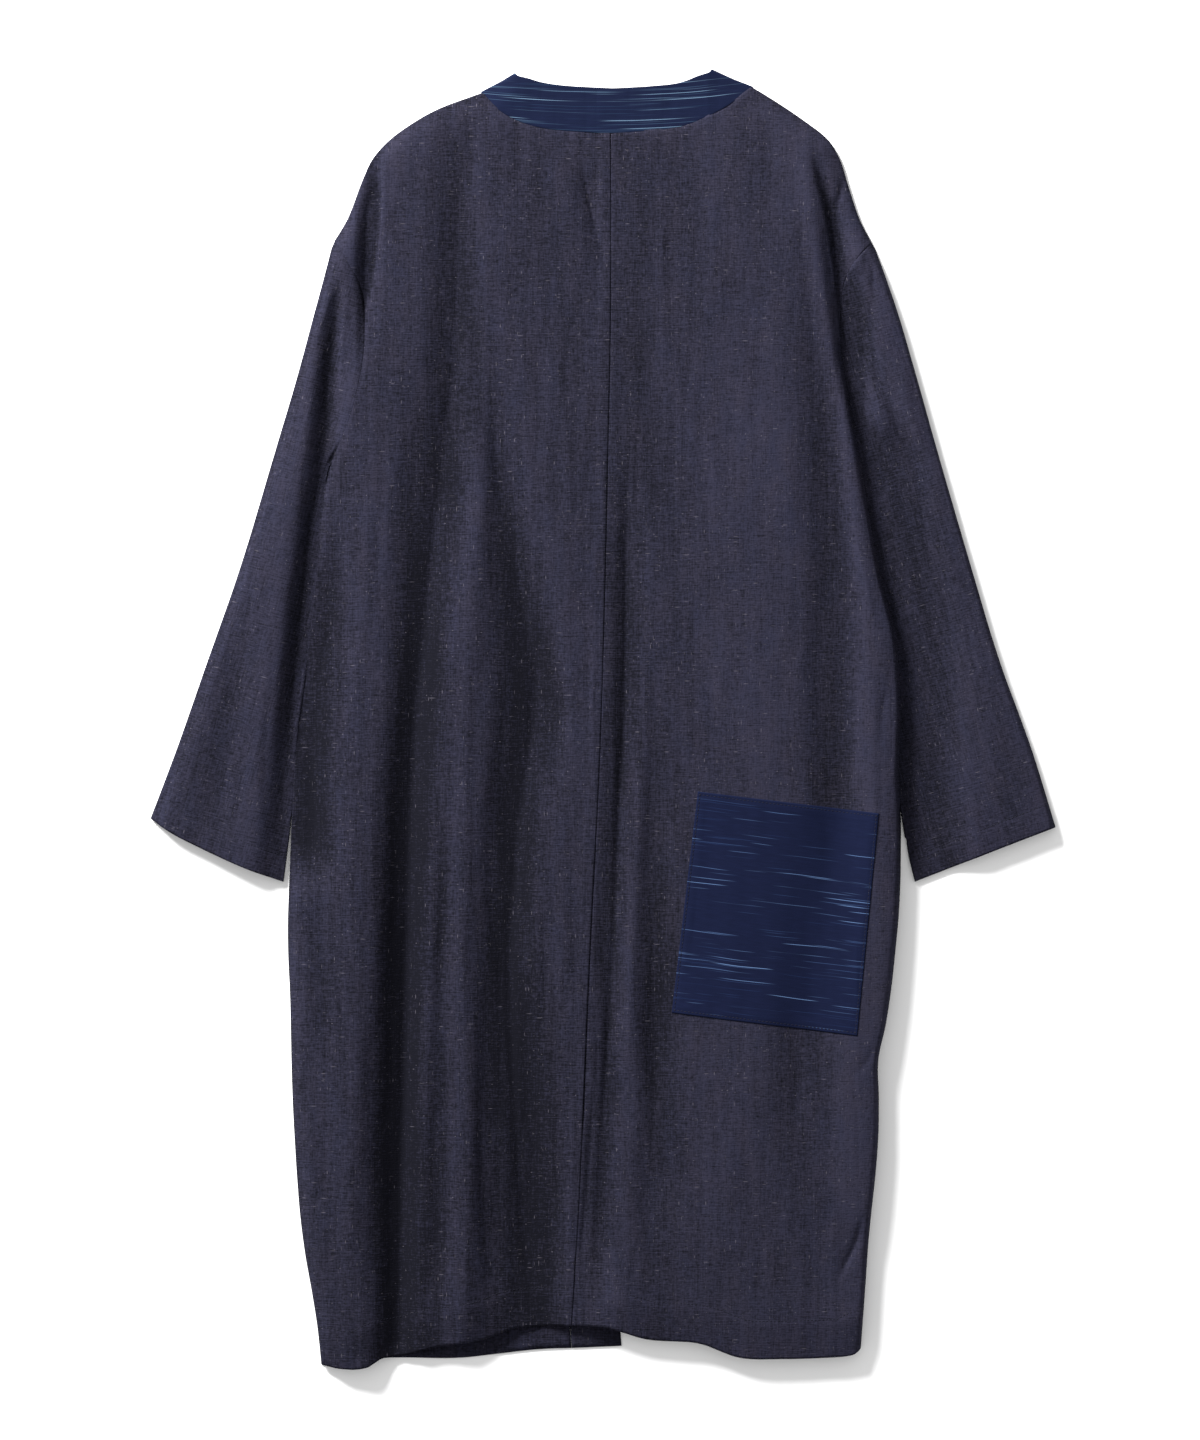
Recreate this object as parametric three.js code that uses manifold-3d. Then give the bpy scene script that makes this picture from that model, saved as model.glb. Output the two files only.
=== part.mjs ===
// A long haori coat laid flat, face down, with its back up.
// Millimetres. +X is the wearer's right, +Y points to the neck, +Z is up off the floor, and the
// origin is the middle of the floor that the coat covers. Cloth is a thin wall everywhere: the fronts
// and bands lie flat on the floor, the two back panels lie on them in folds, and each sleeve is a
// flattened tube beside the body.
import * as THREE from 'three';
import Module from 'manifold-3d';

// Driving dimensions
const CLOTH = 1.5; // wall of every cloth piece
const SEAM = 0.3; // space left between two pieces that are sewn together
const ARMHOLE_SEAM = 0.5; // the same, measured along X, where a seam slants
const UNDERARM_SEAM = 1; // between a sleeve's underarm edge and the side of the body
const REST = CLOTH + SEAM; // underside of a back panel where it lies on a front
const EDGE_TOP = REST + CLOTH; // top of a back panel where it lies on a front
const CUFF_FLARE = 10; // power by which the underarm edge leaves the body's side at the cuff only
const ARMHOLE_FADE = 12; // power by which the armhole's curve fades out down the sleeve
const SIDE_ROLL = 18; // width over which the cloth rolls down to a side, a shoulder or a sleeve's edge
const UNDERARM_RISE = 34; // width over which a sleeve rises from its underarm edge
const HEM_ROLL = 36; // width over which the back comes down towards its hem
const HEM_SHARE = 0.7; // share of its height that it keeps there
const COLLAR_STAND = 8; // middle of the neck band's wall above the floor, along its folded edge
const COLLAR_END_Y = 520; // where the neck band meets the front bands
const COLLAR_CELLS = 3; // cells across the neck band
const TURN_CLEAR = 2.4; // start of its folded-over end, away from the back panel's neck corner
const TURN_STEPS = 4; // steps round the half turn of the neck band
const FRONT_STEPS = 3; // steps of the neck band down a front
const PATCH_PROUD = SEAM; // the patch pocket's underside above the back panel's face

// Cells of the walls
const CELLS = { shoulder: 18, neck: 14, armhole: 10, beside: 15, skirt: 13, hem: 32, frontHem: 12 };

/** Rows of numbers under named columns, as a list of objects. */
function table(columns, rows) {
  const names = columns.split(' ');
  return rows.map((row) => Object.fromEntries(names.map((name, i) => [name, row[i]])));
}

// Outline of the laid coat: each edge runs away from the neck, or down from the shoulder.
const OUTLINE = {
  left: {
    outward: -1,
    shoulder: table('x y', [
      [-112, 575], [-150, 561], [-169, 551], [-196, 532], [-212, 514], [-221, 495], [-235, 459],
      [-247, 439],
    ]),
    armhole: table('x y', [
      [-247, 439], [-235, 420], [-224, 399], [-220, 384], [-220, 335], [-224, 310], [-233, 275],
      [-253, 229],
    ]),
    beside: table('x y', [
      [-253, 229], [-260, 190], [-262, 148], [-268, 91], [-275, 35], [-282, -22], [-286, -90],
      [-288.5, -150],
    ]),
    skirt: table('x y', [
      [-288.5, -150], [-290, -200], [-288, -250], [-285, -360], [-277, -471], [-268, -526],
      [-261, -572], [-259, -594],
    ]),
    neck: table('x y', [[-112, 575], [-99, 561], [-86, 552], [-62, 543], [-31, 539], [7, 537]]),
    hem: table('x y', [
      [-259, -594], [-242, -597], [-226, -597.5], [-212, -594], [-206, -589], [-181, -585], [-156, -578],
      [-113, -571], [-97, -566], [-83, -561], [-62, -559], [-29, -558],
    ]),
    sleeve: table('x y', [
      [-247, 439], [-262, 385], [-282, 311], [-301, 247], [-334, 137], [-363, 54], [-392, -29],
      [-415.8, -92],
    ]),
    cuff: table('x y', [[-415.8, -92], [-399, -104], [-370, -119], [-328, -138], [-294, -150]]),
    frontHem: table('x y', [
      [-259, -594], [-242, -596], [-226, -596], [-206, -589], [-132, -588], [-95, -584], [-58, -580],
      [-29, -579],
    ]),
    bandFold: table('x y', [[-81, 594], [-76, 520], [-58, 375], [17, -577]]),
  },
  right: {
    outward: 1,
    shoulder: table('x y', [
      [138, 580], [153, 571], [183, 551], [207, 532], [218, 514], [224, 495], [236, 459], [247, 438],
    ]),
    armhole: table('x y', [
      [247, 438], [238, 428], [226, 412], [220, 394], [218, 367], [219, 339], [228, 288], [240, 218],
    ]),
    beside: table('x y', [
      [240, 218], [252, 148], [260, 111], [269, 78], [273, 35], [274, -7], [272, -49], [274, -92],
      [273.5, -150],
    ]),
    skirt: table('x y', [
      [273.5, -150], [273, -167], [268, -222], [261, -277], [254, -305], [253, -333], [254, -360],
      [251, -415], [245, -471], [241, -526], [237, -579],
    ]),
    neck: table('x y', [
      [138, 580], [131, 575], [116, 563], [95, 552], [72, 543], [40, 539], [7, 537],
    ]),
    hem: table('x y', [
      [237, -579], [230, -584], [200, -587], [160, -588], [136, -588], [122, -586], [108, -581],
      [96, -576], [84, -573], [40, -570], [16, -563], [0, -559], [-29, -558],
    ]),
    sleeve: table('x y', [
      [247, 438], [267, 385], [289, 311], [307, 247], [339, 137], [364, 54], [394, -29], [415.8, -100],
    ]),
    cuff: table('x y', [[415.8, -100], [374, -116], [328, -134], [287, -150]]),
    frontHem: table('x y', [[237, -579], [225, -582], [136, -582], [108, -575], [89, -570]]),
    bandFold: table('x y', [[100, 597.5], [97, 520], [88, 375], [43, -566]]),
  },
};

const CENTRE_SEAM = table('x y', [
  [7, 537], [7, 375], [4, 219], [0, 54], [-4, -60], [-10, -172], [-17, -323], [-22, -440], [-29, -558],
]);
const COLLAR_FOLD = table('x y', [
  [-81, 594], [-62, 586], [-40, 582], [9, 579], [44, 581], [70, 584], [86, 590], [100, 597.5],
]);
const PATCH_CORNERS = table('x y', [[87, -67], [253, -87], [233, -291], [63, -270]]);

// Height of the top face of the back, by the distance from neck to hem, and of the sleeves.
const LOFT = table('y body', [[600, 8.5], [450, 11.5], [300, 13], [0, 15.5], [-300, 17], [-600, 17]]);
const SLEEVE_LOFT = 11;

// Folds of the top layer, from neck or shoulder to hem: height is added at each station (a valley's is
// below zero), and half is the half width where the fold has half its height.
const FOLDS = [
  // long valley down the left of the back
  table('x y height half', [
    [-136, 560, 0, 12], [-134, 431, -6, 15], [-140, 293, -8.5, 17], [-155, 180, -9.5, 16],
    [-168, 60, -10, 15], [-178, -75, -11, 14], [-183, -250, -12.5, 13], [-186, -400, -13, 13],
    [-188, -600, -12.5, 13],
  ]),
  // roll between that valley and the side seam
  table('x y height half', [
    [-212, 80, 0, 20], [-222, -100, 3.5, 22], [-226, -300, 6, 20], [-220, -480, 7, 18],
    [-218, -600, 5, 16],
  ]),
  // narrow ridge to the right of the valley
  table('x y height half', [
    [-122, 300, 0, 10], [-122, 180, 3.5, 12], [-126, -167, 5, 12], [-129, -380, 6.5, 12],
    [-132, -540, 5.5, 13], [-135, -600, 4, 13],
  ]),
  // second valley, broad over the waist and wide open at the hem
  table('x y height half', [
    [-100, 400, 0, 10], [-94, 230, -5, 13], [-70, 90, -8, 19], [-66, 10, -8.5, 22],
    [-80, -90, -8, 17], [-87, -220, -7.5, 15], [-84, -340, -8.5, 20], [-74, -480, -10, 26],
    [-64, -600, -8, 28],
  ]),
  // short crease beside the top of the centre-back seam
  table('x y height half', [[-19, 515, 0, 6], [-14, 480, -3, 7], [-7, 440, -3, 7], [2, 390, 0, 6]]),
  // valley along the centre-back seam
  table('x y height half', [
    [24, 230, 0, 9], [23, 140, -5, 10], [22, 0, -6, 10], [14, -140, -6, 10], [8, -270, -6.5, 10],
    [-3, -408, -7.5, 11], [-11, -520, -6, 12], [-17, -590, 0, 12],
  ]),
  // soft roll and shallow valley on the right of that seam
  table('x y height half', [
    [34, 60, 0, 10], [30, -90, 3.5, 11], [26, -200, 4, 12], [18, -390, 5, 14], [12, -560, 2, 14],
  ]),
  table('x y height half', [
    [46, 30, 0, 10], [44, -120, -5, 11], [50, -300, -5.5, 14], [46, -430, -3, 15], [44, -520, 0, 15],
  ]),
  // broad soft valley down the right of the back, through the patch
  table('x y height half', [
    [206, 480, 0, 14], [206, 300, -5.5, 20], [214, 110, -7, 19], [216, -80, -5, 18],
    [196, -200, -3, 18], [178, -330, -5, 20], [180, -470, 0, 22],
  ]),
  // roll between that valley and the right side
  table('x y height half', [
    [244, 190, 0, 12], [252, 60, 3, 13], [252, -120, 4.5, 14], [236, -320, 4, 15], [226, -560, 2, 15],
  ]),
  // the fold of the right shoulder that stands over the sleeve
  table('x y height half', [
    [201, 530, 0, 7], [208, 480, -5, 8], [214, 430, -6.5, 9], [221, 365, -5, 9], [227, 290, 0, 9],
  ]),
  // crease of the left shoulder inside the armhole
  table('x y height half', [[-208, 500, 0, 8], [-215, 440, -5, 9], [-219, 390, -4, 9], [-221, 310, 0, 9]]),
  // slanting dent at the right end of the hem
  table('x y height half', [[241, -455, 0, 9], [226, -496, -5, 10], [214, -530, 0, 10]]),
  // folds of the left sleeve
  table('x y height half', [
    [-244, 390, 0, 8], [-249, 320, -4, 9], [-263, 220, -3, 9], [-276, 120, 0, 9],
  ]),
  table('x y height half', [[-330, 130, 0, 8], [-337, 40, -2.5, 10], [-346, -60, -2.5, 10], [-350, -120, 0, 10]]),
  // fold of the right sleeve
  table('x y height half', [
    [244, 420, 0, 8], [241, 360, -3, 9], [264, 285, -3.5, 10], [292, 200, -3.5, 11], [307, 120, -2.5, 12],
    [334, 50, 0, 12],
  ]),
];

const vec = (x, y, z = 0) => new THREE.Vector3(x, y, z);
const mix = THREE.MathUtils.lerp;

/** A smooth curve through the rows of a table. */
function curve(rows) {
  return new THREE.CatmullRomCurve3(rows.map((row) => vec(row.x, row.y)), false, 'centripetal');
}

/** Evenly spaced points along a table's curve, one more than its cells. */
function sample(rows, cells) {
  return curve(rows).getSpacedPoints(cells);
}

/** Distance from a point to a chain of points, seen from above, with the place along the chain. */
function nearest(point, chain) {
  let best = { distance: Infinity, index: 0, share: 0 };
  for (let index = 0; index + 1 < chain.length; index += 1) {
    const [start, end] = [chain[index], chain[index + 1]];
    const [dx, dy] = [end.x - start.x, end.y - start.y];
    const along = ((point.x - start.x) * dx + (point.y - start.y) * dy) / (dx * dx + dy * dy);
    const share = THREE.MathUtils.clamp(along, 0, 1);
    const distance = Math.hypot(point.x - start.x - share * dx, point.y - start.y - share * dy);
    if (distance < best.distance) best = { distance, index, share };
  }
  return best;
}

/** What a fold adds to the height at a point: a soft bell across it that follows its stations. */
function foldHeight(point, stations) {
  const { distance, index, share } = nearest(point, stations);
  const half = mix(stations[index].half, stations[index + 1].half, share);
  if (distance > 2 * half) return 0;
  const height = mix(stations[index].height, stations[index + 1].height, share);
  return (height * (1 + Math.cos((Math.PI * distance) / (2 * half)))) / 2;
}

/** Height of the loft table at a distance from neck to hem. */
function bodyLoft(y) {
  const last = LOFT.length - 2;
  const next = LOFT.findIndex((row) => row.y <= y);
  const index = THREE.MathUtils.clamp(next - 1, 0, last);
  const [above, below] = [LOFT[index], LOFT[index + 1]];
  return mix(above.body, below.body, (above.y - y) / (above.y - below.y));
}

/** The points that each side's pieces share, so that sewn edges match point by point. */
function edgesOf(outline) {
  const beside = sample(outline.beside, CELLS.beside);
  const flare = outline.cuff.at(-1).x - beside.at(-1).x - outline.outward * UNDERARM_SEAM;
  const underarm = beside.map(({ x, y }, j) => (
    vec(x + outline.outward * UNDERARM_SEAM + flare * (j / CELLS.beside) ** CUFF_FLARE, y)));
  return {
    outward: outline.outward,
    shoulder: sample(outline.shoulder, CELLS.shoulder),
    armhole: sample(outline.armhole, CELLS.armhole),
    side: [...beside, ...sample(outline.skirt, CELLS.skirt).slice(1)],
    neck: sample(outline.neck, CELLS.neck),
    hem: sample(outline.hem, CELLS.hem),
    sleeve: sample(outline.sleeve, CELLS.beside),
    underarm,
    cuff: sample(outline.cuff, CELLS.armhole),
    frontHem: sample(outline.frontHem, CELLS.frontHem),
  };
}

const EDGES = { left: edgesOf(OUTLINE.left), right: edgesOf(OUTLINE.right) };
const SHOULDERS = Object.values(EDGES).map((edge) => [...edge.shoulder, ...edge.sleeve.slice(1)]);
const SIDES = Object.values(EDGES).map((edge) => edge.side);
const HEMS = Object.values(EDGES).map((edge) => edge.hem);

/** Share of a width that a point is away from the nearest of some edges, 1 beyond that width. */
function inwards(point, chains, width) {
  return Math.min(1, Math.min(...chains.map((chain) => nearest(point, chain).distance)) / width);
}

/** A quarter of an ellipse from an edge, where it is 0, to a width away from it, where it is 1. */
function quarterRound(point, chains, width) {
  return Math.sqrt(1 - (1 - inwards(point, chains, width)) ** 2);
}

/** Height of the top face of the coat's upper layer at a point: loft, folds and rolled-down edges. */
function topHeight(point, loft, side = quarterRound(point, SIDES, SIDE_ROLL)) {
  const relief = FOLDS.reduce((sum, stations) => sum + foldHeight(point, stations), loft);
  const roll = Math.min(side, quarterRound(point, SHOULDERS, SIDE_ROLL));
  const hem = mix(HEM_SHARE, 1, quarterRound(point, HEMS, HEM_ROLL));
  return EDGE_TOP + Math.max(0, relief - EDGE_TOP) * roll * hem;
}

/** A sleeve's slow rise from its underarm edge, which starts as the body's roll at the armhole. */
function underarmRise(point, share) {
  const slow = THREE.MathUtils.smoothstep(inwards(point, SIDES, UNDERARM_RISE), 0, 1);
  return mix(quarterRound(point, SIDES, SIDE_ROLL), slow, share);
}

/** Share of the way from body to sleeve at a point, so that the loft changes softly at the armhole. */
function sleeveShare(point, side) {
  const { distance } = nearest(point, EDGES[side].armhole);
  return Math.min(1, distance / 60);
}

/** Grid of points inside four edges: top and bottom run along i, start and end along j. */
function coons(top, bottom, start, end, fade = 1) {
  const [columns, rows] = [top.length - 1, start.length - 1];
  return start.map((_, j) => top.map((__, i) => {
    const [u, v] = [i / columns, 1 - (1 - j / rows) ** fade];
    const across = (axis) => mix(start[j][axis], end[j][axis], u);
    const down = (axis) => mix(top[i][axis], bottom[i][axis], v);
    const corners = (axis) => mix(
      mix(top[0][axis], top[columns][axis], u), mix(bottom[0][axis], bottom[columns][axis], u), v,
    );
    const blend = (axis) => across(axis) + down(axis) - corners(axis);
    return vec(blend('x'), blend('y'));
  }));
}

/**
 * A closed wall between an outer and an inner grid of points; wrap joins the first and last column.
 * Each cell of the outer grid is cut along its shorter diagonal, and the cell under it the same way.
 */
function wall(outer, inner, wrap = false) {
  const [rows, columns] = [outer.length, outer[0].length];
  const points = [...outer.flat(), ...inner.flat()];
  const at = (side, j, i) => (side * rows + j) * columns + (i % columns);
  const index = [];
  const quad = (a, b, c, d, turned = false) => (
    turned ? index.push(b, c, d, b, d, a) : index.push(a, b, c, a, c, d));
  const spans = wrap ? columns : columns - 1;
  for (let j = 0; j < rows - 1; j += 1) {
    for (let i = 0; i < spans; i += 1) {
      const cell = [at(0, j, i), at(0, j + 1, i), at(0, j + 1, i + 1), at(0, j, i + 1)];
      const [a, b, c, d] = cell.map((k) => points[k]);
      const turned = b.distanceTo(d) < a.distanceTo(c);
      quad(...cell, turned);
      quad(at(1, j, i), at(1, j, i + 1), at(1, j + 1, i + 1), at(1, j + 1, i), turned);
    }
    if (!wrap) {
      quad(at(0, j, 0), at(1, j, 0), at(1, j + 1, 0), at(0, j + 1, 0));
      const end = columns - 1;
      quad(at(0, j, end), at(0, j + 1, end), at(1, j + 1, end), at(1, j, end));
    }
  }
  for (let i = 0; i < spans; i += 1) {
    const end = rows - 1;
    quad(at(0, 0, i), at(0, 0, i + 1), at(1, 0, i + 1), at(1, 0, i));
    quad(at(0, end, i), at(1, end, i), at(1, end, i + 1), at(0, end, i + 1));
  }
  return facingOut(points, index);
}

/** Volume inside closed triangles, below zero when they face inwards. */
function volume(points, index) {
  let sum = 0;
  for (let k = 0; k < index.length; k += 3) {
    const [a, b, c] = [points[index[k]], points[index[k + 1]], points[index[k + 2]]];
    sum += a.dot(vec(0, 0).crossVectors(b, c)) / 6;
  }
  return sum;
}

/** Geometry of closed triangles, turned over if they face inwards. */
function facingOut(points, index) {
  if (volume(points, index) < 0) index.reverse();
  const geometry = new THREE.BufferGeometry().setFromPoints(points);
  geometry.setIndex(index);
  geometry.computeVertexNormals();
  return geometry;
}

/** How much further than its thickness a sloping wall reaches, straight down, at each grid point. */
function slopeFactors(grid) {
  const clamped = (j, i) => grid[THREE.MathUtils.clamp(j, 0, grid.length - 1)][
    THREE.MathUtils.clamp(i, 0, grid[0].length - 1)];
  return grid.map((row, j) => row.map((_, i) => {
    const across = vec(0, 0).subVectors(clamped(j, i + 1), clamped(j, i - 1));
    const down = vec(0, 0).subVectors(clamped(j + 1, i), clamped(j - 1, i));
    const normal = across.cross(down).normalize();
    return Math.min(1.6, 1 / Math.max(0.1, Math.abs(normal.z)));
  }));
}

/** The grid of a back panel's top face, from its outer edge to the centre-back seam. */
function backGrid(side) {
  const edge = EDGES[side];
  const seam = sample(CENTRE_SEAM, CELLS.armhole + CELLS.beside + CELLS.skirt);
  const inner = seam.map((point) => vec(point.x + (edge.outward * SEAM) / 2, point.y));
  const top = [...[...edge.shoulder].reverse(), ...edge.neck.slice(1)];
  const outer = [...edge.armhole, ...edge.side.slice(1)];
  const flat = coons(top, edge.hem, outer, inner);
  return flat.map((row) => row.map((point) => vec(point.x, point.y, topHeight(point, bodyLoft(point.y)))));
}

/** The underside of a top face's grid, which never sinks into the layer below. */
function underside(grid, floor) {
  const slope = slopeFactors(grid);
  return grid.map((row, j) => row.map((point, i) => (
    vec(point.x, point.y, Math.max(floor, point.z - CLOTH * slope[j][i])))));
}

/** A flat piece of cloth on the floor, inside a closed chain of points. */
function floorPiece(points) {
  const shape = new THREE.Shape(points.map((point) => new THREE.Vector2(point.x, point.y)));
  return new THREE.ExtrudeGeometry(shape, { depth: CLOTH, bevelEnabled: false });
}

/** A point on a front's straight opening edge, from the neck down to the hem. */
function openingEdge(side, y) {
  const [neck, hem] = [EDGES[side].shoulder[0], EDGES[side].frontHem.at(-1)];
  return vec(mix(neck.x, hem.x, (neck.y - y) / (neck.y - hem.y)), y);
}

/** A front: shoulder, armhole, side, hem and opening edge, flat on the floor. */
function front(side) {
  const edge = EDGES[side];
  const inner = edge.frontHem.slice(1);
  return floorPiece([...edge.shoulder, ...edge.armhole.slice(1), ...edge.side.slice(1), ...inner]);
}

/** A front band, from the end of the neck band to the hem. */
function frontBand(side) {
  const edge = EDGES[side];
  const top = COLLAR_END_Y - SEAM;
  const hem = edge.frontHem.at(-1);
  const shift = -edge.outward * SEAM;
  return floorPiece([
    vec(openingEdge(side, top).x + shift, top), vec(hem.x + shift, hem.y),
    ...OUTLINE[side].bandFold.filter((row) => row.y < top).reverse(),
    vec(bandFoldAt(side, top), top),
  ]);
}

/** X of the band's folded edge at a distance from neck to hem. */
function bandFoldAt(side, y) {
  const rows = OUTLINE[side].bandFold;
  const next = Math.max(1, rows.findIndex((row) => row.y <= y));
  const [above, below] = [rows[next - 1], rows[next]];
  return mix(above.x, below.x, (above.y - y) / (above.y - below.y));
}

/** A sleeve: a flattened tube from the armhole to the cuff, its lower layer flat on the floor. */
function sleeve(side) {
  const edge = EDGES[side];
  const seam = edge.outward * ARMHOLE_SEAM;
  const armhole = edge.armhole.map((point) => vec(point.x + seam, point.y));
  const outer = edge.sleeve.map((point, j) => vec(point.x + (j === 0 ? seam : 0), point.y));
  const flat = coons(armhole, edge.cuff, outer, edge.underarm, ARMHOLE_FADE);
  const top = flat.map((row) => row.map((point) => {
    const share = sleeveShare(point, side);
    const loft = mix(bodyLoft(point.y), SLEEVE_LOFT, share);
    return vec(point.x, point.y, topHeight(point, loft, underarmRise(point, share)));
  }));
  const slope = slopeFactors(top);
  const ring = (j, height) => {
    const row = top[j];
    const width = row[0].distanceTo(row.at(-1));
    const inset = height === 'inner' ? CLOTH / width : 0;
    const place = (i) => {
      const share = THREE.MathUtils.clamp(i / CELLS.armhole, inset, 1 - inset);
      const whole = Math.min(CELLS.armhole - 1, Math.floor(share * CELLS.armhole));
      return row[whole].clone().lerp(row[whole + 1], share * CELLS.armhole - whole);
    };
    const upper = row.map((_, i) => {
      const point = place(i);
      const drop = height === 'inner' ? CLOTH * slope[j][i] : 0;
      return vec(point.x, point.y, Math.max(height === 'inner' ? REST : 0, point.z - drop));
    });
    const lower = row.map((_, i) => {
      const point = place(CELLS.armhole - i);
      return vec(point.x, point.y, height === 'inner' ? CLOTH : 0);
    });
    return [...upper, ...lower];
  };
  const rings = (height) => top.map((_, j) => ring(j, height));
  return wall(rings('outer'), rings('inner'), true);
}

/** Rungs of the neck band's half turn at a neck side, from the back's face down to the floor. */
function turnOver(side, rung) {
  const corner = EDGES[side].shoulder[0];
  const fold = OUTLINE[side].bandFold[0];
  const along = vec(fold.x - corner.x, fold.y - corner.y).normalize();
  const neck = corner.clone().addScaledVector(along, TURN_CLEAR);
  const outward = vec(Math.abs(along.y) * EDGES[side].outward, Math.abs(along.x));
  return Array.from({ length: TURN_STEPS + 1 }, (_, step) => rung.map((point, k) => {
    const share = k / (rung.length - 1);
    const radius = (point.z - CLOTH / 2) / 2;
    const angle = (Math.PI * step) / TURN_STEPS;
    const place = vec(mix(neck.x, fold.x, share), mix(neck.y, fold.y, share));
    place.addScaledVector(outward, radius * (Math.sin(angle) - 1) - CLOTH / 2);
    return vec(place.x, place.y, CLOTH / 2 + radius * (1 + Math.cos(angle)));
  }));
}

/** Rungs of the neck band down a front, flat on the floor, to where the front band starts. */
function downFront(side, rung) {
  const shift = -EDGES[side].outward * SEAM;
  const last = rung.length - 1;
  return Array.from({ length: FRONT_STEPS }, (_, step) => rung.map((start, k) => {
    const share = (step + 1) / FRONT_STEPS;
    const y = mix(start.y, COLLAR_END_Y, share);
    const [sewn, folded] = [openingEdge(side, y).x + shift, bandFoldAt(side, y)];
    return vec(mix(sewn, folded, k / last), y, CLOTH / 2);
  }));
}

/** The neck band: down the left front, over the neck side, across the back neck and down the right. */
function collar() {
  const half = COLLAR_FOLD.findIndex((row) => row.x > 0);
  const folded = [
    ...sample(COLLAR_FOLD.slice(0, half + 1), CELLS.neck),
    ...sample(COLLAR_FOLD.slice(half), CELLS.neck).slice(1),
  ];
  const sewn = [...EDGES.left.neck, ...[...EDGES.right.neck].reverse().slice(1)];
  const across = folded.map((top, j) => Array.from({ length: COLLAR_CELLS + 1 }, (_, k) => {
    const share = k / COLLAR_CELLS;
    const seamTop = topHeight(sewn[j], bodyLoft(sewn[j].y)) - CLOTH / 2;
    const y = mix(sewn[j].y + ARMHOLE_SEAM, top.y, share);
    return vec(mix(sewn[j].x, top.x, share), y, mix(Math.max(seamTop, REST + 1.2), COLLAR_STAND, share));
  }));
  const inside = across.slice(2, -2);
  const [left, right] = [turnOver('left', across[0]), turnOver('right', across.at(-1))];
  const rungs = [
    ...downFront('left', left.at(-1)).reverse(), ...left.reverse(), ...inside,
    ...right, ...downFront('right', right.at(-1)),
  ];
  return thicken(rungs, CLOTH);
}

/** A closed wall of even thickness about a grid of points on its middle. */
function thicken(grid, thickness) {
  const clamped = (j, i) => grid[THREE.MathUtils.clamp(j, 0, grid.length - 1)][
    THREE.MathUtils.clamp(i, 0, grid[0].length - 1)];
  const moved = (way) => grid.map((row, j) => row.map((point, i) => {
    const across = vec(0, 0).subVectors(clamped(j, i + 1), clamped(j, i - 1));
    const down = vec(0, 0).subVectors(clamped(j + 1, i), clamped(j - 1, i));
    const normal = across.cross(down).normalize();
    return point.clone().addScaledVector(normal, (way * thickness) / 2);
  }));
  return wall(moved(1), moved(-1));
}

/** The patch pocket: a wall over the right back panel's own facets, cut to the patch's outline. */
function pocketPatch(manifold, panelGrid) {
  const lifted = (by) => panelGrid.map((row) => row.map((point) => vec(point.x, point.y, point.z + by)));
  const sheet = solid(manifold, wall(lifted(PATCH_PROUD + CLOTH), lifted(PATCH_PROUD)));
  const shape = new THREE.Shape(PATCH_CORNERS.map((row) => new THREE.Vector2(row.x, row.y)));
  const cutter = new THREE.ExtrudeGeometry(shape, { depth: 60, bevelEnabled: false });
  return fromSolid(sheet.intersect(solid(manifold, cutter)));
}

/** A manifold solid of a closed geometry, its equal points merged. */
function solid(manifold, geometry) {
  const position = geometry.getAttribute('position');
  const order = geometry.index ? [...geometry.index.array] : [...Array(position.count).keys()];
  const places = new Map();
  const vertProperties = [];
  const triVerts = order.map((k) => {
    const point = [position.getX(k), position.getY(k), position.getZ(k)];
    const key = point.map((value) => value.toFixed(4)).join();
    if (!places.has(key)) {
      places.set(key, places.size);
      vertProperties.push(...point);
    }
    return places.get(key);
  });
  return new manifold.Manifold(new manifold.Mesh({
    numProp: 3, vertProperties: new Float32Array(vertProperties), triVerts: new Uint32Array(triVerts),
  }));
}

/** The geometry of a manifold solid. */
function fromSolid(body) {
  const mesh = body.getMesh();
  const geometry = new THREE.BufferGeometry();
  geometry.setAttribute('position', new THREE.BufferAttribute(mesh.vertProperties, mesh.numProp));
  geometry.setIndex([...mesh.triVerts]);
  geometry.computeVertexNormals();
  return geometry;
}

/** The cloths' finishes. */
const CLOTHS = {
  denim: { color: '#36354a', roughness: 0.9, metalness: 0 },
  kasuri: { color: '#22345a', roughness: 0.85, metalness: 0 },
  patch: { color: '#1c2448', roughness: 0.85, metalness: 0 },
};

function piece(name, geometry, cloth) {
  const mesh = new THREE.Mesh(geometry, new THREE.MeshStandardMaterial(CLOTHS[cloth]));
  mesh.name = name;
  return mesh;
}

const manifold = await Module();
manifold.setup();

const coat = new THREE.Group();
for (const side of ['left', 'right']) {
  const grid = backGrid(side);
  coat.add(piece(`back_${side}`, wall(grid, underside(grid, REST)), 'denim'));
  coat.add(piece(`front_${side}`, front(side), 'denim'));
  coat.add(piece(`front_band_${side}`, frontBand(side), 'denim'));
  coat.add(piece(`sleeve_${side}`, sleeve(side), 'denim'));
}
coat.add(piece('collar', collar(), 'kasuri'));
coat.add(piece('pocket_patch', pocketPatch(manifold, backGrid('right')), 'patch'));

export default coat;
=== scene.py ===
"""Looks of a long haori coat that lies flat with its back up.

Every cloth solid of the frame is replaced by a thin shell with the same outline and the same main
folds, and gets the creases, hems, seams and stitches of a soft, slubby linen denim. Heights and
places in the tables are millimetres in the frame of the coat: +X is the wearer's right, +Y points to
the neck and +Z is up off the floor.
"""

import logging
import math
from collections.abc import Callable, Sequence
from dataclasses import dataclass, field
from enum import Enum
from typing import Any

import bmesh
import bpy
import numpy as np
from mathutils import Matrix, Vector
from mathutils.bvhtree import BVHTree


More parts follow.
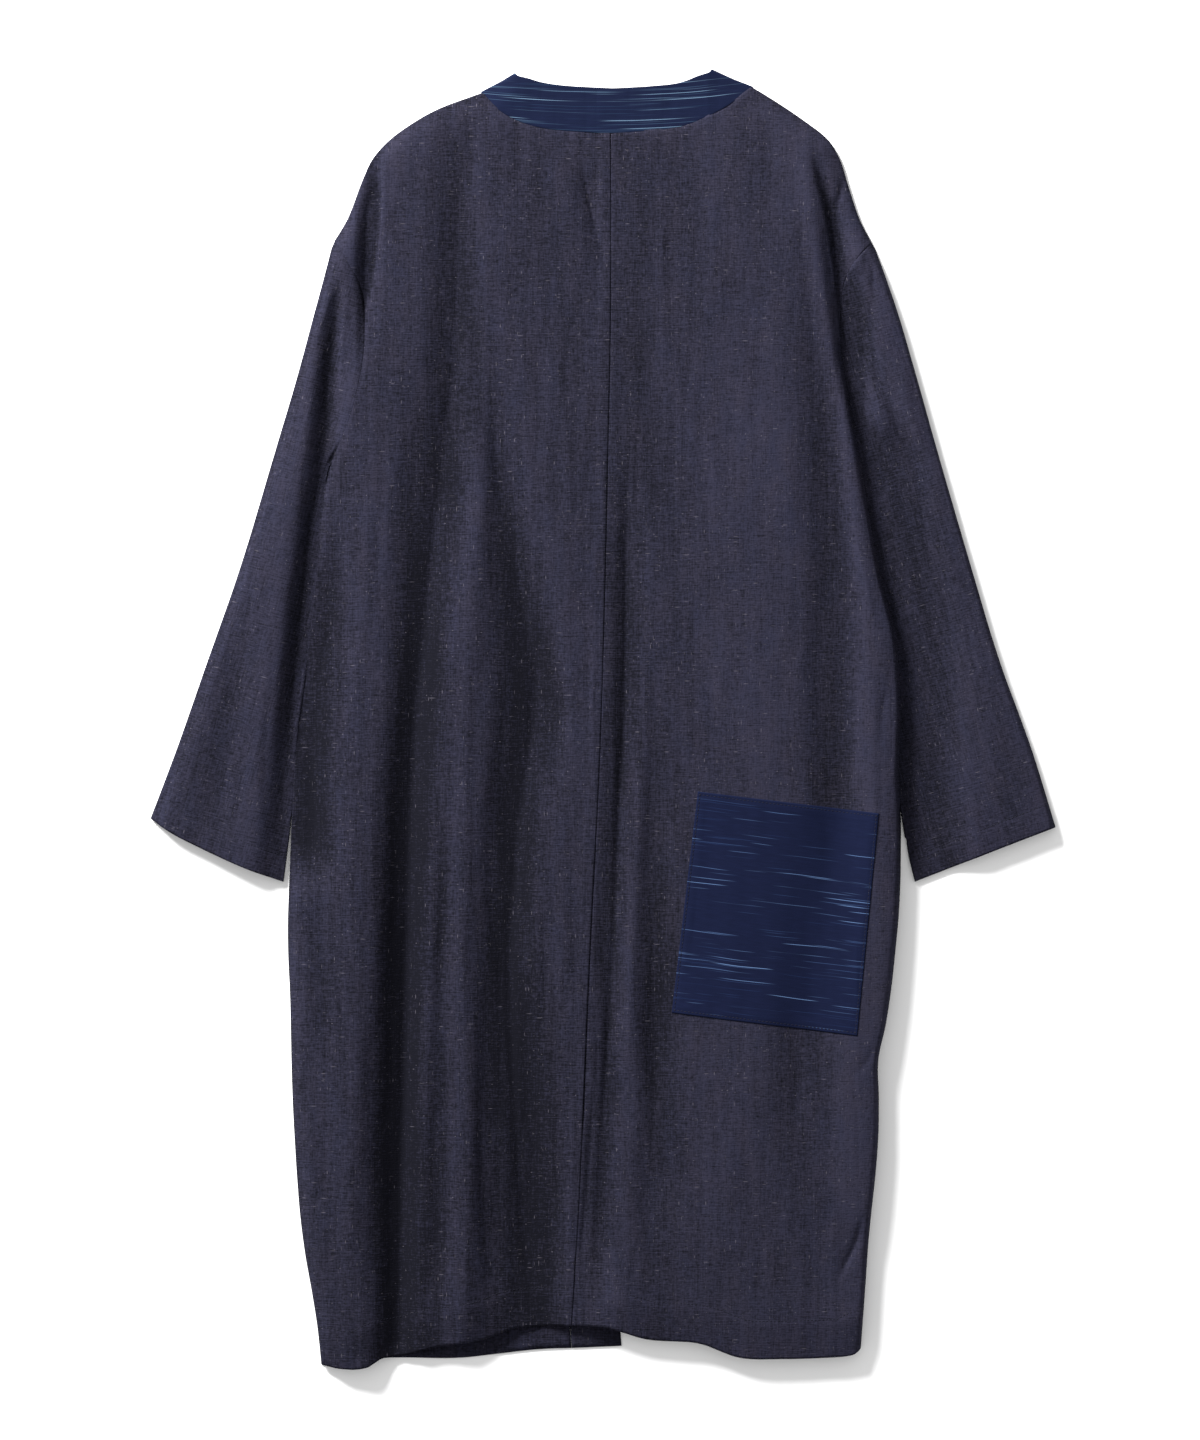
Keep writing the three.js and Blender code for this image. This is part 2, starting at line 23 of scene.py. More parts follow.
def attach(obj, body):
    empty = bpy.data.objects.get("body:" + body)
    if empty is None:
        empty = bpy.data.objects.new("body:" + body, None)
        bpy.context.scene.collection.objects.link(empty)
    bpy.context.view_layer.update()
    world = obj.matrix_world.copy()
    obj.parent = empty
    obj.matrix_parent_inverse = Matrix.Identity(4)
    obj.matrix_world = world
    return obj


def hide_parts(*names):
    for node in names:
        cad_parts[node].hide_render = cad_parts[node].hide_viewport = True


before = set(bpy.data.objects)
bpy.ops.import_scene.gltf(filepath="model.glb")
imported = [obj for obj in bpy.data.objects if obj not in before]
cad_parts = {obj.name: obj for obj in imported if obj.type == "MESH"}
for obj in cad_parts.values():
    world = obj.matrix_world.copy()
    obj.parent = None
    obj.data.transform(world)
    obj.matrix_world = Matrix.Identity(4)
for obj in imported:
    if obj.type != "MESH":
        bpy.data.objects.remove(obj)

LOG = logging.getLogger("haori_coat")
MM = 0.001
BODY = "root"
FACE_UP = 0.15  # lowest upward part of a face's normal on the top of a cloth solid
WELD = 1e-6
ABOVE_ALL = 100.0  # a height from which faces are searched downwards
CLOTH = 0.9  # thickness of the denim, thinner than the solids' walls
STITCH_INSET = 1.5  # distance of a hem's stitches from the edge of its turned strip
ARMHOLE_GROOVE = 0.15
SEWN_REACH = 5.0  # a point farther than this from an edge isn't moved to it
CUFF_LEVEL = (110.0, 175.0)  # depths below the origin between which the side leaves the sleeve
UNDERARM_LEVEL = (40.0, 130.0)  # heights between which side and sleeve come to lie as one cloth
JOINED_GAP = 12.0  # how far away their edge then counts, so that creases run on over it

Array = np.ndarray
Place = tuple[float, float]
Table = tuple[tuple[float, ...], ...]


# Shapes along the cloth ---------------------------------------------------------------------------


class FoldKind(Enum):
    """How a fold looks when it is cut across."""

    SOFT = "soft"  # a rounded roll or trough
    SHARP = "sharp"  # a crease with a narrow bottom and long soft sides
    LEANING = "leaning"  # rounded, with a half width of its own on each side


@dataclass(frozen=True)
class Fold:
    """A fold that follows a row of stations: x, y, height (a trough's is below 0) and half width.

    A leaning fold runs down the coat, and has half widths for its -X side and its +X side.
    """

    kind: FoldKind
    stations: tuple[tuple[float, ...], ...]

    def heights(self, points: Array) -> Array:
        """Work out what the fold adds to the height of each point.

        Args:
            points: Places on the coat, one row of x and y each.

        Returns:
            One height for each point.
        """
        rows = np.array(self.stations, float)
        distance, place = nearest_on(rows[:, :2], points)
        steps = np.arange(len(rows))
        height = np.interp(place, steps, rows[:, 2])
        half = np.interp(place, steps, rows[:, 3])
        if self.kind is FoldKind.LEANING:
            line = np.interp(points[:, 1], rows[::-1, 1], rows[::-1, 0])
            half = np.where(points[:, 0] > line, np.interp(place, steps, rows[:, 4]), half)
        across = distance / half
        if self.kind is not FoldKind.SHARP:  # it ends at twice its half width, and a crease at five times
            return height * np.where(across < 2, (1 + np.cos(np.pi * across / 2)) / 2, 0)
        fade = np.clip(1 - across / 5, 0, 1)
        return height * fade**2 / (1 + across**2)


def soft(*stations: tuple[float, float, float, float]) -> Fold:
    """Name a rounded fold by its stations."""
    return Fold(FoldKind.SOFT, stations)


def sharp(*stations: tuple[float, float, float, float]) -> Fold:
    """Name a crease by its stations."""
    return Fold(FoldKind.SHARP, stations)


def leaning(*stations: tuple[float, float, float, float, float]) -> Fold:
    """Name a fold with one steep side by its stations."""
    return Fold(FoldKind.LEANING, stations)


def nearest_on(chain: Array, points: Array) -> tuple[Array, Array]:
    """Find the nearest place on a chain of points, seen from above.

    Args:
        chain: The chain's points, one row of x and y each.
        points: Places to measure from.

    Returns:
        The distance of each point, and its place along the chain counted in links.
    """
    best = np.full(len(points), np.inf)
    place = np.zeros(len(points))
    for k in range(len(chain) - 1):
        start, step = chain[k], chain[k + 1] - chain[k]
        share = np.clip((points - start) @ step / max(step @ step, 1e-12), 0, 1)
        gap = np.linalg.norm(points - start - share[:, None] * step, axis=1)
        closer = gap < best
        best = np.where(closer, gap, best)
        place = np.where(closer, k + share, place)
    return best, place


def meeting(edge: Array, points: Array, overlap: float) -> tuple[Array, Array]:
    """Find how far points must move to lie on a sewn edge, and its height there.

    Args:
        edge: The edge's points, one row of x, y and z each.
        points: Places of the other piece's edge, one row of x and y each.
        overlap: How far beyond the edge they go.

    Returns:
        One step in x and y, and one height, for each point.
    """
    place = nearest_on(edge[:, :2], points)[1]
    steps = np.arange(len(edge))
    at = np.column_stack([np.interp(place, steps, edge[:, k]) for k in range(3)])
    move = at[:, :2] - points
    gap = np.linalg.norm(move, axis=1, keepdims=True)
    move = np.where(gap < SEWN_REACH, move * (1 + overlap / np.maximum(gap, 0.2)), 0)
    return move, at[:, 2]


def crumple(points: Array, width: float, length: float, seed: int) -> Array:
    """Soft random hills between -1 and 1, longer down the coat than across it.

    Args:
        points: Places on the coat.
        width: Size of a hill across the coat.
        length: Size of a hill down the coat.
        seed: Fixed start of the random numbers.

    Returns:
        One height for each point.
    """
    cells = 64
    lattice = np.random.default_rng(seed).uniform(-1, 1, (cells, cells))
    across, down = points[:, 0] / width + 1000, points[:, 1] / length + 1000
    i, j = np.floor(across).astype(int), np.floor(down).astype(int)
    u, v = across - i, down - j
    u, v = (t * t * t * (t * (t * 6 - 15) + 10) for t in (u, v))
    corner = {(a, b): lattice[(i + a) % cells, (j + b) % cells] for a in (0, 1) for b in (0, 1)}
    near = corner[0, 0] * (1 - u) + corner[1, 0] * u
    far = corner[0, 1] * (1 - u) + corner[1, 1] * u
    return near * (1 - v) + far * v


def smooth_chain(chain: Array, shares: Array) -> Array:
    """Sample a smooth curve through a chain of points.

    Args:
        chain: Points that the curve goes through, one row each.
        shares: Places along it from 0 to 1, by length.

    Returns:
        One point for each share.
    """
    per_link = 12
    if len(chain) == 2:
        dense = chain
    else:
        ends = np.vstack([2 * chain[0] - chain[1], chain, 2 * chain[-1] - chain[-2]])
        knots = np.concatenate([[0], np.cumsum(np.linalg.norm(np.diff(ends, axis=0), axis=1) ** 0.5)])
        parts = []
        for k in range(1, len(ends) - 2):
            a, b, c, d = ends[k - 1 : k + 3]
            ta, tb, tc, td = knots[k - 1 : k + 3]
            t = np.linspace(tb, tc, per_link, endpoint=False)[:, None]
            ab = a + (b - a) * (t - ta) / (tb - ta)
            bc = b + (c - b) * (t - tb) / (tc - tb)
            cd = c + (d - c) * (t - tc) / (td - tc)
            abc = ab + (bc - ab) * (t - ta) / (tc - ta)
            bcd = bc + (cd - bc) * (t - tb) / (td - tb)
            parts.append(abc + (bcd - abc) * (t - tb) / (tc - tb))
        dense = np.vstack([*parts, chain[-1:]])
    lengths = np.concatenate([[0], np.cumsum(np.linalg.norm(np.diff(dense, axis=0), axis=1))])
    return np.column_stack([np.interp(shares * lengths[-1], lengths, dense[:, k]) for k in range(2)])


def gap_to(chain: Array, points: Array, count: int) -> Array:
    """Distance of each point from the smooth curve through a chain, taken as count places."""
    return nearest_on(smooth_chain(chain, np.linspace(0, 1, count)), points)[0]


def joined(chains: Sequence[Array], breaks: Sequence[float] = ()) -> Callable[[Array], Array]:
    """Make one edge of several smooth chains that meet at corners.

    Args:
        chains: The chains in order.
        breaks: The edge's share at each inner corner.

    Returns:
        A function from shares of the whole edge to points.
    """
    stops = [0.0, *breaks, 1.0]

    def edge(shares: Array) -> Array:
        result = np.zeros((len(shares), 2))
        for chain, low, high in zip(chains, stops, stops[1:]):
            inside = (shares >= low) & (shares <= high)
            result[inside] = smooth_chain(chain, (shares[inside] - low) / (high - low))
        return result

    return edge


def gathered(count: int, ends: float) -> Array:
    """count + 1 shares from 0 to 1 that lie closer together at both ends, the more so up to ends = 1."""
    even = np.linspace(0, 1, count + 1)
    return even - ends * np.sin(2 * np.pi * even) / (2 * np.pi)


def quarter_round(distance: Array, width: float) -> Array:
    """A quarter of an ellipse: 0 at an edge, and 1 from a width away from it."""
    left = 1 - np.clip(distance / width, 0, 1)
    return np.sqrt(1 - left**2)


def step_up(value: Array, low: float, high: float) -> Array:
    """A soft step from 0 at low to 1 at high."""
    share = np.clip((value - low) / (high - low), 0, 1)
    return share * share * (3 - 2 * share)


def bell(gap: Array, width: float) -> Array:
    """A bell that is 1 at gap 0 and nearly nothing from twice its width on."""
    return np.exp(-((gap / width) ** 2))


def drawn_in(gap: Array, roll: Array | float) -> Array:
    """Where a solid is read for a point at a distance from its rolled edge."""
    return np.where(gap < roll, roll * quarter_round(gap, roll), gap)


def heights_over(tree: BVHTree, points: Array, search: float) -> Array:
    """Height of a face over each point, from the face's nearest place beyond its outline.

    Args:
        tree: The face, in millimetres.
        points: Places on the coat.
        search: Height from which the nearest place is looked for.

    Returns:
        One height for each point.
    """
    result = np.zeros(len(points))
    for k, (x, y) in enumerate(points):
        hit = tree.ray_cast(Vector((x, y, ABOVE_ALL)), Vector((0, 0, -1)))[0]
        if hit is None:
            hit = tree.find_nearest(Vector((x, y, search)))[0]
        result[k] = hit.z
    return result


def face_tree(face: Array) -> BVHTree:
    """Search tree of a grid of points.

    Args:
        face: Rows and columns of x, y and z.

    Returns:
        The tree, in millimetres.
    """
    rows, columns = face.shape[:2]
    j, i = np.meshgrid(np.arange(rows - 1), np.arange(columns - 1), indexing="ij")
    a = (j * columns + i).ravel()
    quads = np.column_stack([a, a + columns, a + columns + 1, a + 1])
    return BVHTree.FromPolygons(face.reshape(-1, 3).tolist(), quads.tolist())


# The frame's cloth solids -------------------------------------------------------------------------


class ClothTop:
    """The top face of one of the frame's cloth solids: its outline and its height everywhere."""

    def __init__(self, node: str) -> None:
        """Take the highest connected group of upward faces from a copy of the node's mesh.

        Args:
            node: Name of the node in the frame.
        """
        shape = bmesh.new()
        shape.from_mesh(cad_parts[node].data)
        bmesh.ops.remove_doubles(shape, verts=shape.verts[:], dist=WELD)
        shape.normal_update()
        upward = {face for face in shape.faces if face.normal.z > FACE_UP}
        groups: list[set[bmesh.types.BMFace]] = []
        while upward:
            group, todo = set(), [upward.pop()]
            while todo:
                face = todo.pop()
                group.add(face)
                for edge in face.edges:
                    for other in edge.link_faces:
                        if other in upward:
                            upward.discard(other)
                            todo.append(other)
            groups.append(group)
        top = max(groups, key=lambda group: max(v.co.z for face in group for v in face.verts))
        rim = [e for e in shape.edges if sum(face in top for face in e.link_faces) == 1]
        self.loop = self._ordered(rim)
        keep = sorted({v for face in top for v in face.verts}, key=lambda v: v.index)
        place = {v: k for k, v in enumerate(keep)}
        faces = [[place[v] for v in face.verts] for face in top]
        self.tree = BVHTree.FromPolygons([v.co / MM for v in keep], faces)
        shape.free()

    @staticmethod
    def _ordered(rim: list[bmesh.types.BMEdge]) -> Array:
        """Put the rim's edges in order, and give their points once round."""
        links: dict[bmesh.types.BMVert, list[bmesh.types.BMVert]] = {}
        for edge in rim:
            start, end = edge.verts
            links.setdefault(start, []).append(end)
            links.setdefault(end, []).append(start)
        first = min(links, key=lambda v: (v.co.x, v.co.y))
        path, last = [first], None
        while True:
            here = path[-1]
            onward = [v for v in links[here] if v is not last]
            last = here
            if not onward or onward[0] is first:
                break
            path.append(onward[0])
        return np.array([v.co[:2] for v in path]) / MM

    def chains(self, corners: Sequence[tuple[float, float]]) -> list[Array]:
        """Cut the outline at its corners.

        Args:
            corners: Places near the corners, in order round the outline.

        Returns:
            One chain of points from each corner to the next, the last one back to the first.
        """
        loop = self.loop
        at = [int(np.argmin(np.linalg.norm(loop - corner, axis=1))) for corner in corners]
        turns = sum((b - a) % len(loop) for a, b in zip(at, at[1:] + at[:1]))
        if turns > len(loop):
            loop = loop[::-1]
            at = [len(loop) - 1 - k for k in at]
        doubled = np.vstack([loop, loop])
        return [doubled[a : a + (b - a) % len(loop) + 1] for a, b in zip(at, at[1:] + at[:1])]

    def heights(self, points: Array) -> Array:
        """Height of the face over each point, from the face's nearest place beyond its outline."""
        return heights_over(self.tree, points, 5)


@dataclass(frozen=True)
class Edges:
    """Four edges of a piece of cloth, each a function from shares to points.

    The top and the bottom run from the outer edge to the inner one, and those run down.
    """

    top: Callable[[Array], Array]
    bottom: Callable[[Array], Array]
    outer: Callable[[Array], Array]
    inner: Callable[[Array], Array]
    fade: float = 1.0  # power by which the top edge's shape fades out down the piece

    def grid(self, across: Array, down: Array) -> Array:
        """Fill the space between the edges with a grid of points.

        Args:
            across: Share of each column from the outer edge, a row for each row of the grid.
            down: Share of each row from the top edge, in the same shape.

        Returns:
            Rows and columns of x and y.
        """
        u, v = across[..., None], 1 - (1 - down[..., None]) ** self.fade
        level = (edge(across.ravel()).reshape(*across.shape, 2) for edge in (self.top, self.bottom))
        upright = (edge(down.ravel()).reshape(*across.shape, 2) for edge in (self.outer, self.inner))
        (top, bottom), (outer, inner) = level, upright
        ends = np.array([0.0, 1.0])
        (t0, t1), (b0, b1) = self.top(ends), self.bottom(ends)
        corners = (t0 * (1 - u) + t1 * u) * (1 - v) + (b0 * (1 - u) + b1 * u) * v
        return outer * (1 - u) + inner * u + top * (1 - v) + bottom * v - corners


def smoothed(grid: Array, across: float, down: float) -> Array:
    """Soften a grid of heights with a bell of the given widths in cells, and keep its edges.

    Args:
        grid: Rows and columns of heights.
        across: Width of the bell along a row.
        down: Width of the bell down a column.

    Returns:
        The softened heights.
    """
    result = grid
    for axis, width in ((1, across), (0, down)):
        reach = math.ceil(3 * width)
        bell = np.exp(-0.5 * (np.arange(-reach, reach + 1) / width) ** 2)
        bell /= bell.sum()
        size = result.shape[axis]
        # an odd mirror at both ends keeps the edge's own height and slope
        before = np.take(result, range(reach, 0, -1), axis)
        after = np.take(result, range(size - 2, size - 2 - reach, -1), axis)
        first, last = np.take(result, [0], axis), np.take(result, [size - 1], axis)
        padded = np.concatenate([2 * first - before, result, 2 * last - after], axis)
        result = sum(
            weight * np.take(padded, range(k, k + size), axis) for k, weight in enumerate(bell)
        )
    return result


# Building meshes ----------------------------------------------------------------------------------


def grid_normals(points: Array, wrap: bool = False) -> Array:
    """Unit normals of a grid of points, on the side from which it runs down and to the right.

    Args:
        points: Rows and columns of x, y and z.
        wrap: Whether the last column is next to the first.

    Returns:
        One normal for each point.
    """
    if wrap:
        across = np.roll(points, -1, 1) - np.roll(points, 1, 1)
    else:
        across = np.gradient(points, axis=1)
    normals = np.cross(np.gradient(points, axis=0), across)
    return normals / np.maximum(np.linalg.norm(normals, axis=2, keepdims=True), 1e-9)


def upward(normals: Array, column: int | None = None) -> Array:
    """Turn a grid's normals over if they point down, all over or in the named column."""
    judged = normals if column is None else normals[:, column]
    return -normals if judged[..., 2].mean() < 0 else normals


def worn_and_shaded(heights: Array, across: float, down: float) -> Array:
    """How far each point stands over its surroundings of so many cells, from -1 to 1: ridges are made paler
    as rubbed wear, and valleys darker as painted shade.
    """
    proud = 4.0  # millimetres over its surroundings at which a ridge is wholly rubbed pale, and under them at which a valley is wholly painted dark
    return np.clip((heights - smoothed(heights, across, down)) / proud, -1, 1)


def shell(
    name: str, outer: Array, inner: Array, weave: Array, wrap: bool = False, wear_and_shade: Array | None = None
) -> bpy.types.Object:
    """Make a closed shell of cloth between an outer and an inner grid of points.

    Args:
        name: Name of the piece.
        outer: Rows and columns of points on the face.
        inner: The same on the cloth's other side.
        weave: Place of each grid point on the flat cloth, in millimetres.
        wrap: Whether the last column is sewn to the first.
        wear_and_shade: How much paler the face is from rubbed wear, or darker from painted shade, for each
            grid point.

    Returns:
        The new object, smooth shaded, with a UV map in metres.
    """
    rows, columns = outer.shape[:2]
    verts = np.vstack([outer.reshape(-1, 3), inner.reshape(-1, 3)]) * MM
    spans = columns if wrap else columns - 1
    j, i = np.meshgrid(np.arange(rows - 1), np.arange(spans), indexing="ij")
    a, d = (j * columns + i).ravel(), (j * columns + (i + 1) % columns).ravel()
    face = np.column_stack([a, a + columns, d + columns, d])
    back = face[:, ::-1] + rows * columns
    low, lift = (rows - 1) * columns, rows * columns
    top = np.arange(spans)
    chains = [(top, (top + 1) % columns), ((top + 1) % columns + low, top + low)]
    if not wrap:
        side = np.arange(rows - 1) * columns
        chains += [(side + columns, side), (side + columns - 1, side + 2 * columns - 1)]
    rims = [np.column_stack([start, end, end + lift, start + lift]) for start, end in chains]
    quads = np.vstack([face, back, *rims])
    flat = np.vstack([weave.reshape(-1, 2), weave.reshape(-1, 2)]) * MM
    piece = make_mesh(name, verts, quads, flat)
    # rubbed wear on the ridges and painted shade in the valleys, stored for the material
    if wear_and_shade is not None:
        layer = piece.data.attributes.new("wear_and_shade", "FLOAT", "POINT")
        layer.data.foreach_set("value", np.concatenate([wear_and_shade.ravel(), np.zeros(rows * columns)]))
    return piece


def make_mesh(name: str, verts: Array, quads: Array, flat: Array) -> bpy.types.Object:
    """Make an object with outward faces and a UV map.

    Args:
        name: Name of the piece.
        verts: Points in metres.
        quads: Four point numbers for each face.
        flat: UV of each point in metres.

    Returns:
        The new object at the origin.
    """
    mesh = bpy.data.meshes.new(name)
    mesh.from_pydata(verts.tolist(), [], quads.tolist())
    mesh.validate()
    map_cloth(mesh, flat)
    if volume_of(mesh) < 0:
        mesh.flip_normals()
    mesh.shade_smooth()
    return placed(name, mesh)


def map_cloth(mesh: bpy.types.Mesh, flat: Array) -> None:
    """Give a mesh its UV map.

    Args:
        mesh: The mesh.
        flat: Place of each of its points on the flat cloth, in metres.
    """
    uv = mesh.uv_layers.new(name="cloth")
    corner = np.zeros(len(mesh.loops), int)
    mesh.loops.foreach_get("vertex_index", corner)
    uv.data.foreach_set("uv", flat[corner].ravel())


def placed(name: str, data: bpy.types.ID) -> bpy.types.Object:
    """Put a new object with the given mesh, lamp or camera in the scene, at the origin."""
    piece = bpy.data.objects.new(name, data)
    bpy.context.scene.collection.objects.link(piece)
    return piece


def baked(rough: bpy.types.Object, name: str) -> bpy.types.Mesh:
    """Turn an object with modifiers into a plain mesh, and take the object away.

    Args:
        rough: The object.
        name: Name of the mesh.

    Returns:
        The new mesh.
    """
    graph = bpy.context.evaluated_depsgraph_get()
    mesh = bpy.data.meshes.new_from_object(rough.evaluated_get(graph))
    bpy.data.objects.remove(rough)
    mesh.name = name
    return mesh


def volume_of(mesh: bpy.types.Mesh) -> float:
    """Volume inside a closed mesh, below 0 where its faces point inwards."""
    shape = bmesh.new()
    shape.from_mesh(mesh)
    volume = shape.calc_volume(signed=True)
    shape.free()
    return volume


# Finishes -----------------------------------------------------------------------------------------

MATH, MIX, RANGE = "ShaderNodeMath", "ShaderNodeMix", "ShaderNodeMapRange"


def linear(hex_colour: str) -> tuple[float, float, float, float]:
    """Turn an sRGB hex colour into a linear one with full cover."""
    parts = [int(hex_colour[k : k + 2], 16) / 255 for k in (1, 3, 5)]
    r, g, b = (c / 12.92 if c <= 0.04045 else ((c + 0.055) / 1.055) ** 2.4 for c in parts)
    return (r, g, b, 1.0)


def add(
    tree: bpy.types.NodeTree, kind: str, links: Any = (), output: int | str = 0, **settings: Any
) -> Any:
    """Add a node to a tree with its settings, its values and its links.

    Args:
        tree: Tree that gets the node.
        kind: Blender's name of the node.
        links: The inputs' values or the sockets that feed them, in order or by name or number.
        output: The output that is wanted.
        settings: The node's own properties.

    Returns:
        The output's socket, or nothing where the node has no outputs.
    """
    node = tree.nodes.new(kind)
    for key, value in settings.items():
        setattr(node, key, value)
    for key, value in links.items() if isinstance(links, dict) else enumerate(links):
        if isinstance(value, bpy.types.NodeSocket):
            tree.links.new(value, node.inputs[key])
        else:
            node.inputs[key].default_value = value
    return node.outputs[output] if len(node.outputs) else None


def blank_material(
    name: str, roughness: float, specular: float
) -> tuple[bpy.types.Material, bpy.types.NodeTree, bpy.types.Node]:
    """Make a material with only its shader and its output.

    Args:
        name: Name of the material.
        roughness: The shader's roughness.
        specular: The shader's specular level.

    Returns:
        The material, its tree and its shader.
    """
    material = bpy.data.materials.new(name)
    material.use_nodes = True
    shader = material.node_tree.nodes["Principled BSDF"]
    shader.inputs["Roughness"].default_value = roughness
    shader.inputs["Specular IOR Level"].default_value = specular
    return material, material.node_tree, shader


def cloth_noise(
    tree: bpy.types.NodeTree, flat: Any, across: float, along: float, detail: float = 2.0
) -> bpy.types.NodeSocket:
    """A noise on the cloth's own map with its own grain size.

    Args:
        tree: The material's tree.
        flat: Place on the cloth.
        across: Size of a grain across the cloth in millimetres.
        along: Size of a grain along the cloth in millimetres.
        detail: Layers of finer noise.

    Returns:
        The socket with a value near 0.5.
    """
    scale = (1 / (across * MM), 1 / (along * MM), 1)
    mapped = add(tree, "ShaderNodeMapping", {"Vector": flat, "Scale": scale})
    values = {"Vector": mapped, "Scale": 1.0, "Detail": detail, "Roughness": 0.6}
    return add(tree, "ShaderNodeTexNoise", values, "Fac", noise_dimensions="2D")


def layered(tree: bpy.types.NodeTree, flat: Any, layers: Sequence[Sequence[float]], start: Any) -> Any:
    """Add weighted noises to a value, without moving its middle.

    Args:
        tree: The material's tree.
        flat: Place on the cloth.
        layers: Grain across and along in millimetres, detail and weight of each noise.
        start: Value or socket to begin with.

    Returns:
        The socket with the sum.
    """
    total = add(tree, MATH, (start, 0.5 * sum(weight for *_, weight in layers)), operation="SUBTRACT")
    for across, along, detail, weight in layers:
        noise = cloth_noise(tree, flat, across, along, detail)
        total = add(tree, MATH, (noise, weight, total), operation="MULTIPLY_ADD")
    return total


@dataclass(frozen=True)
class LinenDenim:
    """Washed indigo linen denim, woven plain from slubby yarn of uneven thickness.

    The eye sees short level slubs that cross long upright ones, upright streaks of the wash, ridges of the
    folds rubbed paler, painted shade darkening the valleys of the folds, a few pale flecks of bare fibre,
    and no gloss.
    """

    name: str = "linen_denim"
    dark: str = "#0f0f15"
    light: str = "#26242f"
    bluish: str = "#20212f"
    fleck: str = "#4a474f"
    roughness: float = 0.9
    specular: float = 0.02
    bump: float = 0.0004
    # grain across and along in millimetres, detail and weight. A yarn is 0.5 mm: two or three are
    # drawn as one so that the weave shows
    yarns: Table = (
        (6.0, 1.2, 1.0, 0.7),
        (1.2, 9.0, 1.0, 0.6),
        (22.0, 1.2, 1.0, 0.6),
        (2.0, 60.0, 1.0, 0.25),
        (2.4, 2.0, 1.0, 0.6),
    )
    washes: Table = ((7.0, 95.0, 2.0, 0.36), (42.0, 170.0, 2.0, 0.35), (12.0, 16.0, 1.0, 0.12))
    wear_and_shade: float = 0.22  # how much lighter a ridge is as rubbed wear, and how much darker a valley is with painted shade
    bare: tuple[float, float] = (0.91, 1.04)  # from where to where a thick place shows its core

    def build(self) -> bpy.types.Material:
        """Make the material.

        Returns:
            The finished material.
        """
        material, tree, shader = blank_material(self.name, self.roughness, self.specular)
        flat = add(tree, "ShaderNodeUVMap", uv_map="cloth")
        wear_shade_attribute = add(tree, "ShaderNodeAttribute", (), "Fac", attribute_name="wear_and_shade")
        weave = layered(tree, flat, self.yarns, 0.5)
        wash_and_shade = layered(tree, flat, self.washes, weave)
        # painted shade: the valleys of the folds are darkened, and the ridges are made paler as rubbed wear
        wash_and_shade = add(tree, MATH, (wear_shade_attribute, self.wear_and_shade, wash_and_shade), operation="MULTIPLY_ADD")
        share = add(tree, RANGE, (wash_and_shade, 0.13, 0.87))
        blotch = cloth_noise(tree, flat, 18.0, 40.0)
        tint = {0: blotch, 6: linear(self.light), 7: linear(self.bluish)}
        tint = add(tree, MIX, tint, 2, data_type="RGBA")
        yarn = add(tree, MIX, {0: share, 6: linear(self.dark), 7: tint}, 2, data_type="RGBA")
        pale = cloth_noise(tree, flat, 9.0, 1.3, 0.0)
        for across, along in ((1.3, 7.0), (2.4, 1.7)):
            other = cloth_noise(tree, flat, across, along, 0.0)
            pale = add(tree, MATH, (pale, other), operation="MAXIMUM")
        cloud = cloth_noise(tree, flat, 34.0, 34.0)
        pale = add(tree, MATH, (cloud, 0.14, pale), operation="MULTIPLY_ADD")
        flecks = add(tree, RANGE, (pale, *self.bare, 0.0, 0.6))
        colour = add(tree, MIX, {0: flecks, 6: yarn, 7: linear(self.fleck)}, 2, data_type="RGBA")
        relief = {"Strength": 0.6, "Distance": self.bump, "Height": weave}
        tree.links.new(colour, shader.inputs["Base Color"])
        tree.links.new(add(tree, "ShaderNodeBump", relief), shader.inputs["Normal"])
        return material


